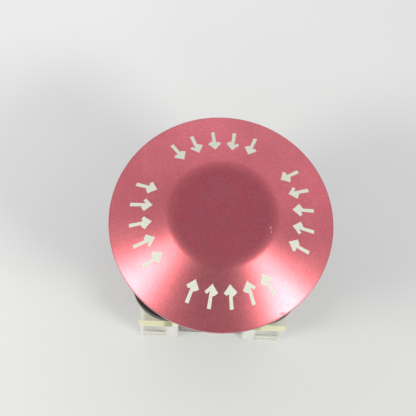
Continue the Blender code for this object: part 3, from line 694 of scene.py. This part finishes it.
SHAFT_RADIUS = 5.0
BAR_SEAT_RADIUS = 3.4
SPOOL_SEAT_RADIUS = 2.0
CLIP_GROOVE_RADIUS = 1.5


def build_shaft(finish):
    low, high = mm_box("operator_shaft")
    stud, bar_seat, spool_seat = 12.15, -11.55, -22.65
    groove_high, groove_low = -29.35, -29.95
    profile = eased([
        (0, high.z), (STUD_RADIUS, high.z), (STUD_RADIUS, stud), (SHAFT_RADIUS, stud),
        (SHAFT_RADIUS, bar_seat), (BAR_SEAT_RADIUS, bar_seat),
        (BAR_SEAT_RADIUS, spool_seat), (SPOOL_SEAT_RADIUS, spool_seat),
        (SPOOL_SEAT_RADIUS, groove_high), (CLIP_GROOVE_RADIUS, groove_high),
        (CLIP_GROOVE_RADIUS, groove_low), (SPOOL_SEAT_RADIUS, groove_low),
        (SPOOL_SEAT_RADIUS, low.z), (0, low.z),
    ], 0.3)
    piece("shaft", lathe(profile, FINE), finish["steel"], "push_head", "operator_shaft")

    low, high = mm_box("actuator_crossbar")
    bar = slab("actuator_crossbar", high.y - FIT, 12)
    bar = cut(bar, hole(BAR_SEAT_RADIUS + FIT, low.z, high.z, segments=48))
    piece("crossbar", bar, finish["black"], "push_head", "actuator_crossbar", edge=0.35, steps=3)

    low, high = mm_box("latch_spool")
    bore, outer, neck = SPOOL_SEAT_RADIUS + FIT, high.x, 2.6
    groove_high, groove_low = -24.3, -26.9
    spool = eased([
        (bore, high.z), (outer, high.z), (outer, groove_high), (neck, groove_high),
        (neck, groove_low), (outer, groove_low), (outer, low.z), (bore, low.z),
    ], 0.3)
    piece("spool", lathe(spool, FINE), finish["steel"], "push_head", "latch_spool")

    low, high = mm_box("spool_retaining_clip")
    start, end = 40, 320
    grip, relief = 1.58, 0.75
    outer = arc((0, 0), 3.2, start, end, 40)
    inner = []
    for degrees in range(end, start - 1, -4):
        turn = math.radians(degrees)
        radius = grip + relief * (0.5 - 0.5 * math.cos(3 * turn)) ** 2
        inner.append((radius * math.cos(turn), radius * math.sin(turn)))
    clip = prism(outer + inner, low.z, high.z)
    piece("spool_clip", clip, finish["steel"], "push_head", "spool_retaining_clip", edge=0.06)


# ---- panel clamp and housing

THREAD_RADIUS = 15.0
THREAD_PITCH = 1.5
THREAD_CHAMFER = 0.9
SPIGOT_RADIUS = 12.0
GUIDE_RADIUS = 7.2
GUIDE_BUSH_BORE = 5.15
FLANGE_LOW = -4.5
FLANGE_CORNER = 10.4
CARRIER_SCREW_AT = (6.5, 6.9)
CARRIER_HOLE_RADIUS = 1.15


def ring_outline(radius):
    """A circle with round notches for a spanner."""
    notch, notches = 1.1, 12
    pitch = 360 / notches
    half_angle = math.degrees(notch / radius)
    outline = []
    for i in range(notches):
        middle = i * pitch
        turn = math.radians(middle)
        centre = (radius * math.cos(turn), radius * math.sin(turn))
        outline += arc(centre, notch, middle - 100, middle - 260, 10)
        outline += arc((0, 0), radius, middle + 1.5 * half_angle, middle + pitch - 1.5 * half_angle, 10)
    return outline


def build_panel_clamp(finish):
    bore = THREAD_RADIUS + FIT
    washer = sleeve("ring_washer", bore, 0.2, ROUND)
    piece("washer", washer, finish["steel"], "panel_body", "ring_washer")

    low, high = mm_box("mounting_ring")
    ring_radius, lead_in, chamfer = 18.43, 0.8, bore + THREAD_CHAMFER
    nut = prism(ring_outline(ring_radius), low.z, high.z)
    bore_tool = eased([
        (0, low.z - BEYOND), (chamfer, low.z - BEYOND), (chamfer, low.z), (bore, low.z + lead_in),
        (bore, high.z - lead_in), (chamfer, high.z), (chamfer, high.z + BEYOND), (0, high.z + BEYOND),
    ], 0.05, 1)
    nut = cut(nut, lathe(bore_tool, ROUND))
    piece("ring_nut", nut, finish["zinc"], "panel_body", "mounting_ring", edge=0.3)

    low, high = mm_box("panel_gasket")
    inner, outer, groove, groove_half = THREAD_RADIUS + 2 * FIT, high.x, 0.22, 0.3
    profile = [(inner, low.z), (outer, low.z), (outer, high.z)]
    for at in (18.9, 17.7, 16.5):
        profile += [(at + groove_half, high.z), (at, high.z - groove), (at - groove_half, high.z)]
    profile += [(inner, high.z)]
    piece("gasket", lathe(eased(profile, 0.18), ROUND), finish["rubber"], "panel_body", "panel_gasket")


def build_bushing(finish):
    low, high = mm_box("threaded_bushing")
    seat, seat_height, shoulder, thread_low = 10.6, 1.6, -1.0, -0.9
    mouth = THREAD_RADIUS - THREAD_CHAMFER
    outside = [(mouth, high.z), *threaded(THREAD_RADIUS, thread_low, high.z - 0.7, THREAD_PITCH, 8)[::-1]]
    outside += [(THREAD_RADIUS, shoulder), (SPIGOT_RADIUS, shoulder)]
    inside = eased([
        (SPIGOT_RADIUS, low.z), (GUIDE_RADIUS, low.z), (GUIDE_RADIUS, seat_height), (seat, seat_height),
        (seat, high.z), (mouth, high.z),
    ], 0.35)
    shape = thread_shape(THREAD_RADIUS, THREAD_PITCH, 0.8, thread_low, high.z - 0.35)
    profile = outside + [p for p in inside if p[0] < mouth - 0.2]
    piece("bushing", lathe(profile, ROUND, shape), finish["zinc"], "panel_body", "threaded_bushing")

    bush = sleeve("shaft_guide_bush", GUIDE_BUSH_BORE, 0.4)
    piece("guide_bush", bush, finish["white"], "panel_body", "shaft_guide_bush")

    low, high = mm_box("shaft_seal")
    seat, lip, valley = high.x, GUIDE_BUSH_BORE, high.z - 1.6
    seal = eased([
        (lip + 1.3, low.z), (seat, low.z), (seat, high.z), (seat - 1.6, high.z), (seat - 2.2, valley),
        (lip + 1.6, valley), (lip, high.z - 0.2), (lip, high.z - 1.0),
    ], 0.25)
    piece("lip_seal", lathe(seal, 96), finish["rubber"], "panel_body", "shaft_seal")

    retainer = sleeve("seal_retainer", 6.2, 0.15, 96)
    piece("retainer", retainer, finish["steel"], "panel_body", "seal_retainer")


def build_rear_housing(finish):
    low, high = mm_box("rear_housing")
    spigot_seat, screw_depth = -8.15, 2.6
    rear = prism(rounded_rectangle(high.x, high.y, FLANGE_CORNER, 24), FLANGE_LOW, high.z)
    rear = joined(rear, rod(THREAD_RADIUS, low.z, FLANGE_LOW + 1, segments=ROUND))
    tools = [
        hole(GUIDE_RADIUS, low.z, high.z, segments=96),
        rod(SPIGOT_RADIUS + FIT, spigot_seat, high.z + BEYOND, segments=96),
    ]
    for side in (-1, 1):
        at = mirrored(CARRIER_SCREW_AT, side, side)
        tools.append(rod(CARRIER_HOLE_RADIUS, low.z - BEYOND, low.z + screw_depth, at, segments=24))
    rear = cut(rear, *tools)
    piece("rear_flange", rear, finish["black"], "panel_body", "rear_housing", edge=0.45, steps=3)


# ---- latch

LATCH_PIN_Y = 10.9
LATCH_PIN_Z = -28.6
LATCH_ARM_LENGTH = 7.2
LATCH_TILT = math.asin(3.0 / LATCH_ARM_LENGTH)
LATCH_ARM_HALF = 7.9
LATCH_PIN_HOLE_RADIUS = 1.1
PAD_REACH = 5.6
COVER_SCREW_Y = 17.2
BLOCK_SCREW_AT = (11.6, 11.9)
BLOCK_HOLE_RADIUS = 1.15


def latch_frame_mesh(low, high):
    """A hollow core, two ribs up to the rear housing and two wings over the contact blocks."""
    half_x, half_y, core_top, cavity_top, wing_top = 9.3, high.y, -21.0, -22.6, -18.4
    root = (core_top - 0.8, core_top + 1.2)
    root_x = (-half_x + 0.2, half_x - 0.2)
    parts = []
    for side in (-1, 1):
        parts.append(box((-12.5, 12.5), (side * 5.2, side * 8.6), (core_top + 0.25, high.z)))
        parts.append(box(root_x, (side * 5.3, side * 8.5), root))
        parts.append(box((-high.x, high.x), (side * 9.6, side * 14.2), (core_top + FIT, wing_top)))
        parts.append(box(root_x, (side * 9.7, side * 14.1), root))
    core = joined(box((-half_x, half_x), (-half_y, half_y), (low.z, core_top)), *parts)
    tools = [
        prism(rounded_rectangle(8.4, 15.4, 1.0, 5), low.z - BEYOND, cavity_top),
        rod(4.8, cavity_top - BEYOND, core_top + 0.1, segments=48),
    ]
    for side in (-1, 1):
        pin_at = (side * LATCH_PIN_Y, LATCH_PIN_Z)
        tools.append(hole(LATCH_PIN_HOLE_RADIUS, -half_x, half_x, pin_at, "x"))
        tools.append(rod(1.0, low.z - BEYOND, low.z + 6, (0, side * COVER_SCREW_Y), segments=32))
        tools.append(hole(CARRIER_HOLE_RADIUS, cavity_top, high.z, mirrored(CARRIER_SCREW_AT, side, side)))
        for across in (-1, 1):
            block_at = mirrored(BLOCK_SCREW_AT, across, side)
            tools.append(hole(BLOCK_HOLE_RADIUS, core_top, wing_top, block_at))
    return cut(core, *tools)


def build_latch_housing(finish):
    frame_mesh = latch_frame_mesh(*mm_box("latch_housing"))
    piece("latch_frame", frame_mesh, finish["zinc"], "panel_body", "latch_housing", edge=0.25)

    low, high = mm_box("latch_cover")
    bore, sink_radius, sink_depth, outside = 1.05, 1.5, 0.4, low.z - 0.2
    tools = []
    for side in (-1, 1):
        sink = lathe([
            (0, outside), (sink_radius, outside), (sink_radius, low.z), (bore, low.z + sink_depth),
            (bore, 0), (0, 0),
        ], 32)
        tools.append(moved(sink, (0, side * COVER_SCREW_Y, 0)))
    cover = cut(slab("latch_cover", 0.6), *tools)
    piece("latch_lid", cover, finish["zinc"], "panel_body", "latch_cover", edge=0.2)
    for side, name in ENDS:
        low, high = mm_box(f"latch_cover_screw_{name}")
        grub = screw(high.z - low.z, 0.85, 0.85, 0.6, "slot", 0.4)
        grub = moved(grub, (0, side * COVER_SCREW_Y, low.z))
        piece(f"lid_screw_{name}", grub, finish["steel"], "panel_body", f"latch_cover_screw_{name}")


def build_latch_fixings(finish):
    for side, name, label in ((-1, "lower", "left"), (1, "upper", "right")):
        low, high = mm_box(f"latch_pin_{name}")
        radius, chamfer = (high.z - low.z) / 2, 0.25
        pin = lathe([
            (0, low.x), (radius - chamfer, low.x), (radius, low.x + chamfer),
            (radius, high.x - chamfer), (radius - chamfer, high.x), (0, high.x),
        ], 40)
        pin = moved(pin, (0, side * LATCH_PIN_Y, LATCH_PIN_Z), (0, math.pi / 2, 0))
        piece(f"arm_pin_{name}", pin, finish["steel"], "panel_body", f"latch_pin_{name}")
        low, high = mm_box(f"carrier_screw_{label}")
        fixing = screw(high.z - low.z, 1.0, 1.6, 0.9, "cross", 0.45)
        fixing = moved(fixing, (*mirrored(CARRIER_SCREW_AT, side, side), low.z))
        piece(f"frame_screw_{label}", fixing, finish["steel"], "panel_body", f"carrier_screw_{label}")


def latch_arm_mesh():
    """The arm lies along +Y from its pin: a barrel, a folded web, a rounded tongue and two spring pads."""
    pad_half, pad_inner = 0.55, 5.3
    tongue = arc((LATCH_ARM_LENGTH + 0.1, 0), 0.8, -90, 90, 16) + [(4.6, 0.8), (4.6, -0.8)]
    web = [(0.9, -0.7), (5.0, -0.7), (5.0, 0.7), (0.9, 0.7)]
    pad = rounded_rectangle(pad_half, 1.6, 0.35, 4)
    pad = [(y + PAD_REACH - pad_half, z) for y, z in pad]
    web_half, pad_outer = LATCH_ARM_HALF - 0.1, LATCH_ARM_HALF - 0.2
    parts = [prism(web, -web_half, web_half, "x"), prism(tongue, -2.4, 2.4, "x")]
    for across in (-1, 1):
        ends = sorted((across * pad_outer, across * pad_inner))
        parts.append(prism(pad, *ends, "x"))
    arm = joined(rod(1.8, -LATCH_ARM_HALF, LATCH_ARM_HALF, axis="x", segments=48), *parts)
    return cut(arm, hole(LATCH_PIN_HOLE_RADIUS, -LATCH_ARM_HALF, LATCH_ARM_HALF, axis="x", segments=40))


def build_latch_moving(finish):
    arm = latch_arm_mesh()
    for side, name in ENDS:
        turned = math.pi if side > 0 else 0
        shape = copy_of(arm, (0, side * LATCH_PIN_Y, LATCH_PIN_Z), (LATCH_TILT, 0, turned))
        piece(f"arm_{name}", shape, finish["steel"], f"latch_arm_{name}_body", f"latch_arm_{name}", edge=0.12)
    arm.free()
    for name in ("left", "right"):
        low, high = mm_box(f"latch_spring_{name}")
        middle = (low + high) / 2
        coil = spring(1.2, 0.24, low.y, high.y, 7)
        coil = moved(coil, (middle.x, 0, middle.z), (math.pi / 2, 0, 0))
        piece(f"arm_spring_{name}", coil, finish["steel"], "latch_spring_body", f"latch_spring_{name}",
              smooth=80)


# ---- contact blocks

CHAMBER_HALF_Y = 19.35
CHAMBER_TOP = -22.4
WIRE_WINDOW_Z = (-35.6, -27.6)
TERMINAL_Y = 15.6
STRIP_LOW = -31.0
STRIP_HIGH = -30.2
PLUNGER_X = 16.7
PLUNGER_HOLE_RADIUS = 2.5


def build_block_shell(side, prefix, fixing, finish):
    low, high = mm_box(f"{prefix}_block_housing")
    near, far = sorted((abs(low.x), abs(high.x)))
    centre_x = side * (near + far) / 2
    outline = [(u + centre_x, v) for u, v in rounded_rectangle((far - near) / 2, high.y, 0.7, 5)]
    shell = prism(outline, low.z, high.z)
    chamber_x = (side * 13.5, side * 19.9)
    tools = [box(chamber_x, (-CHAMBER_HALF_Y, CHAMBER_HALF_Y), (low.z - BEYOND, CHAMBER_TOP))]
    window_x = (side * 13.0, side * 19.8)
    sink_radius, sink_depth = 1.85, 1.8
    for end in (-1, 1):
        window_y = (end * (CHAMBER_HALF_Y - 0.5), end * (high.y + BEYOND))
        tools.append(box(window_x, window_y, WIRE_WINDOW_Z))
        at = mirrored(BLOCK_SCREW_AT, side, end)
        tools.append(hole(BLOCK_HOLE_RADIUS, low.z, high.z, at))
        tools.append(rod(sink_radius, low.z - BEYOND, low.z + sink_depth, at, segments=40))
    plunger_at = (side * PLUNGER_X, 0)
    tools.append(hole(PLUNGER_HOLE_RADIUS, CHAMBER_TOP, high.z, plunger_at, segments=48))
    shell = cut(shell, *tools)
    piece(f"{prefix}_housing", shell, finish["clear"], "panel_body", f"{prefix}_block_housing", edge=0.22)
    for end, name in ENDS:
        at = (*mirrored(BLOCK_SCREW_AT, side, end), low.z + FIT)
        body = copy_of(fixing, at, (0, 0, math.radians(25 * end + 10 * side)))
        piece(f"{prefix}_fixing_{name}", body, finish["steel"], "panel_body", f"{prefix}_block_screw_{name}")


def build_block_cover(prefix, finish):
    low, high = mm_box(f"{prefix}_block_cover")
    middle = (low.x + high.x) / 2
    grip_x, grip_z = (middle - 2, middle + 2), (low.z - BEYOND, low.z + 0.3)
    grips = [box(grip_x, (y - 0.35, y + 0.35), grip_z) for y in range(-9, -4)]
    lid = cut(slab(f"{prefix}_block_cover", 0.5), *grips)
    piece(f"{prefix}_lid", lid, finish["clear"], "panel_body", f"{prefix}_block_cover", edge=0.12)


def fixed_contact_outline(closed_at_rest):
    """Side view in YZ of the strip from the contact tip to the terminal, for the +Y end."""
    low, high = STRIP_LOW, STRIP_HIGH
    tip_in, tip_out, riser_in, riser_out, end = 3.7, 6.1, 9.1, 9.9, 18.7
    if closed_at_rest:
        top, under, face = -24.7, -25.5, -26.0
        return [
            (tip_in, top), (riser_out, top), (riser_out, high), (end, high), (end, low), (riser_in, low),
            (riser_in, under), (tip_out, under), (tip_out, face), (tip_in, face),
        ]
    face, over, bottom = -31.3, -31.8, -32.6
    return [
        (tip_in, face), (tip_out, face), (tip_out, over), (riser_in, over), (riser_in, high), (end, high),
        (end, low), (riser_out, low), (riser_out, bottom), (tip_in, bottom),
    ]


def build_terminals(side, prefix, terminal_screw, finish):
    outline = eased(fixed_contact_outline(prefix == "nc"), 0.3, 3)
    x = side * PLUNGER_X
    half_strip, bore, from_middle, half_groove = 2.8, 1.55, 1.9, 0.25
    for end, name in ENDS:
        strip = prism([(end * y, z) for y, z in outline], x - half_strip, x + half_strip, "x")
        centre = (x, end * TERMINAL_Y)
        strip = cut(strip, hole(bore, STRIP_LOW, STRIP_HIGH, centre, segments=40))
        piece(f"{prefix}_strip_{name}", strip, finish["brass"], "panel_body",
              f"{prefix}_fixed_contact_{name}", edge=0.1)

        node = f"{prefix}_clamp_plate_{name}"
        low, high = mm_box(node)
        plate = slab(node, 0.7, 5)
        tools = [hole(bore, low.z, high.z, centre, segments=40)]
        for across in (-from_middle, from_middle):
            groove_x = (x + across - half_groove, x + across + half_groove)
            tools.append(box(groove_x, (centre[1] - 4, centre[1] + 4), (high.z - 0.15, high.z + BEYOND)))
        piece(f"{prefix}_saddle_{name}", cut(plate, *tools), finish["steel"], "panel_body", node, edge=0.1)

        low, high = mm_box(f"{prefix}_terminal_screw_{name}")
        body = copy_of(terminal_screw, (*centre, low.z), (0, 0, math.radians(35 + 50 * end + 20 * side)))
        piece(f"{prefix}_screw_{name}", body, finish["steel"], "panel_body",
              f"{prefix}_terminal_screw_{name}")


def build_plunger(side, prefix, window_z, finish):
    low, high = mm_box(f"{prefix}_plunger")
    half_x, half_y, shoulder = 2.2, 2.4, CHAMBER_TOP - 0.2
    stem_radius, stem_low = half_x - 0.05, shoulder - 0.5
    bar = prism(rounded_rectangle(half_x, half_y, 0.35, 4), low.z, shoulder)
    stem = eased([(0, stem_low), (stem_radius, stem_low), (stem_radius, high.z), (0, high.z)], 0.4)
    bar = joined(bar, lathe(stem, 48))
    bar = cut(bar, box((-1.65, 1.65), (-half_y - BEYOND, half_y + BEYOND), window_z))
    bar = moved(bar, (side * PLUNGER_X, 0, 0))
    colour = finish["plunger_red" if prefix == "nc" else "plunger_green"]
    piece(f"{prefix}_push_rod", bar, colour, f"{prefix}_plunger_body", f"{prefix}_plunger", edge=0.15)


def build_bridge(side, prefix, finish):
    low, high = mm_box(f"{prefix}_contact_bridge")
    tip_in, tip_out, thick = 3.8, 6.1, 0.7
    if prefix == "nc":
        back, face, tip = low.z, low.z + thick, high.z
    else:
        back, face, tip = high.z, high.z - thick, low.z
    half = [(tip_out, back), (tip_out, tip), (tip_in, tip), (tip_in, face)]
    outline = half + [(-y, z) for y, z in reversed(half)]
    bridge = prism(eased(outline, 0.25, 3), -1.4, 1.4, "x")
    piece(f"{prefix}_bridge", moved(bridge, (side * PLUNGER_X, 0, 0)), finish["brass"],
          f"{prefix}_bridge_body", f"{prefix}_contact_bridge", edge=0.1)


def build_springs(side, prefix, finish):
    """A bridge spring and a return spring for the block; each return spring, and the normally open block's
    bridge spring, gets a mesh of its own.
    """
    x = side * PLUNGER_X
    low, high = mm_box(f"{prefix}_contact_spring")
    coil = moved(spring(0.95, 0.2, low.z, high.z, 3), (x, 0, 0))
    coil = piece(f"{prefix}_bridge_spring", coil, finish["steel"], f"{prefix}_plunger_body",
                 f"{prefix}_contact_spring", smooth=80)
    if prefix == "no":
        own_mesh(coil)

    low, high = mm_box(f"{prefix}_return_spring")
    coil = moved(spring(1.6, 0.25, low.z, high.z, 4.5), (x, 0, 0))
    coil = piece(f"{prefix}_rod_spring", coil, finish["steel"], "panel_body", f"{prefix}_return_spring",
                 smooth=80)
    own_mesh(coil)


def build_contact_blocks(finish):
    fixing = screw(18.6, 1.0, 1.7, 1.5, "cross", 0.5)
    terminal_screw = screw(7.4, 1.4, 2.6, 1.8, "slot", 0.6)
    for side, prefix, window_z in ((-1, "nc", (-29.5, -26.15)), (1, "no", (-27.35, -24.2))):
        build_block_shell(side, prefix, fixing, finish)
        build_block_cover(prefix, finish)
        build_terminals(side, prefix, terminal_screw, finish)
        build_plunger(side, prefix, window_z, finish)
        build_bridge(side, prefix, finish)
        build_springs(side, prefix, finish)
    fixing.free()
    terminal_screw.free()


# ---- surroundings

def floor_finish():
    """A pale table with painted shade, a little darker toward the front right."""
    n = Nodes("pale_table")
    soft = n.noise(60.0, 2.0, 0.5)
    fine = n.noise(0.8, 2.0, 0.5, seed=5.0)
    x, y, _ = n.xyz()
    # Painted shade: the table's colour darkens toward the front right.
    forward = n.math("SUBTRACT", x, n.times(y, 1.2))
    painted_shade = n.ramp(forward, -0.15, 0.15, smooth=False)
    pale = n.mix(n.ramp(soft, 0.3, 0.7), (0.80, 0.79, 0.845), (0.82, 0.81, 0.865))
    colour = n.mix(painted_shade, pale, (0.635, 0.625, 0.67))
    return n.finish(colour, n.ramp(fine, 0.3, 0.7, 0.6, 0.7), n.bump(fine, 0.01, 0.3))


def build_floor():
    bm = bmesh.new()
    half = 2.0
    corners = [bm.verts.new((x * half, y * half, 0)) for x, y in ((-1, -1), (1, -1), (1, 1), (-1, 1))]
    bm.faces.new(corners)
    mesh = bpy.data.meshes.new("table")
    bm.to_mesh(mesh)
    bm.free()
    table = bpy.data.objects.new("table", mesh)
    table.data.materials.append(floor_finish())
    bpy.context.collection.objects.link(table)
    table.location.z = cad_box[0].z


def polar(azimuth, elevation):
    """A unit vector. Azimuth 0 is -Y, in front, and 90 is +X."""
    a, e = math.radians(azimuth), math.radians(elevation)
    return Vector((math.sin(a) * math.cos(e), -math.cos(a) * math.cos(e), math.sin(e)))


def softbox(name, azimuth, elevation, radiance):
    """A soft lamp that looks at the origin. Lengths are in metres."""
    distance, width, height = 0.55, 0.17, 0.15
    data = bpy.data.lights.new(name, "AREA")
    data.shape = "RECTANGLE"
    data.size = width
    data.size_y = height
    data.energy = radiance * math.pi * width * height
    data.color = (0.98, 1.02, 0.84)
    lamp = bpy.data.objects.new(name, data)
    direction = polar(azimuth, elevation)
    lamp.location = direction * distance
    lamp.rotation_mode = "QUATERNION"
    lamp.rotation_quaternion = direction.to_track_quat("Z", "Y")
    bpy.context.collection.objects.link(lamp)


def shaded(n, direction, toward, outer, inner, level):
    """A soft round patch of the surroundings, between two angles in degrees, at another level."""
    near, far = math.cos(math.radians(inner)), math.cos(math.radians(outer))
    dot = n.math("DOT_PRODUCT", direction, tuple(toward), kind="ShaderNodeVectorMath", output="Value")
    return n.ramp(dot, far, near, 1.0, level)


def build_lights():
    softbox("key_right", 56, 40.5, 14.7)
    softbox("key_left", -67, 40, 13.4)
    world = bpy.data.worlds.new("studio")
    bpy.context.scene.world = world
    n = Tree(world)
    direction = n.new("ShaderNodeTexCoord").outputs["Generated"]
    split = n.new("ShaderNodeSeparateXYZ")
    n.fill(split, Vector=direction)
    ramp = n.new("ShaderNodeValToRGB")
    stops = ((0.0, 1.06), (0.36, 0.96), (0.57, 0.77), (0.857, 0.52), (1.0, 0.49))
    elements = ramp.color_ramp.elements
    while len(elements) < len(stops):
        elements.new(0.5)
    for element, (at, level) in zip(elements, stops):
        element.position = at
        element.color = (level, level, level, 1)
    ramp.color_ramp.interpolation = "EASE"
    n.fill(ramp, Fac=split.outputs["Z"])

    # A darker patch in front and above, and paler walls behind and at the right.
    level = shaded(n, direction, polar(5, 54), 29, 10, 0.60)
    level = n.times(level, shaded(n, direction, polar(-174, 17), 18, 4, 1.24))
    level = n.times(level, shaded(n, direction, polar(130, 27), 16, 4, 1.26))
    n.fill(n.tree.nodes["Background"], Color=ramp.outputs["Color"], Strength=level)


def build_camera():
    azimuth, elevation, roll = -5.487, 71.824, 7.781
    aim = Vector((-3.574, 2.983, 15.897)) * MM
    distance = 230.13 * MM
    back = polar(azimuth, elevation)
    turn = math.radians(azimuth)
    level = Vector((math.cos(turn), math.sin(turn), 0))
    above = back.cross(level)
    roll = math.radians(roll)
    right = level * math.cos(roll) + above * math.sin(roll)
    up = back.cross(right)
    data = bpy.data.cameras.new("camera")
    data.sensor_width = 36
    data.lens = 78.5
    data.clip_start = 0.01
    camera = bpy.data.objects.new("camera", data)
    bpy.context.collection.objects.link(camera)
    facing = Matrix((right, up, back)).transposed().to_4x4()
    camera.matrix_world = Matrix.Translation(aim + back * distance) @ facing
    bpy.context.scene.camera = camera


def main():
    finish = finishes()
    build_head(finish)
    build_shaft(finish)
    build_panel_clamp(finish)
    build_bushing(finish)
    build_rear_housing(finish)
    build_latch_housing(finish)
    build_latch_fixings(finish)
    build_latch_moving(finish)
    build_contact_blocks(finish)
    build_floor()
    build_lights()
    build_camera()
    bpy.context.scene.view_settings.view_transform = "Standard"


main()
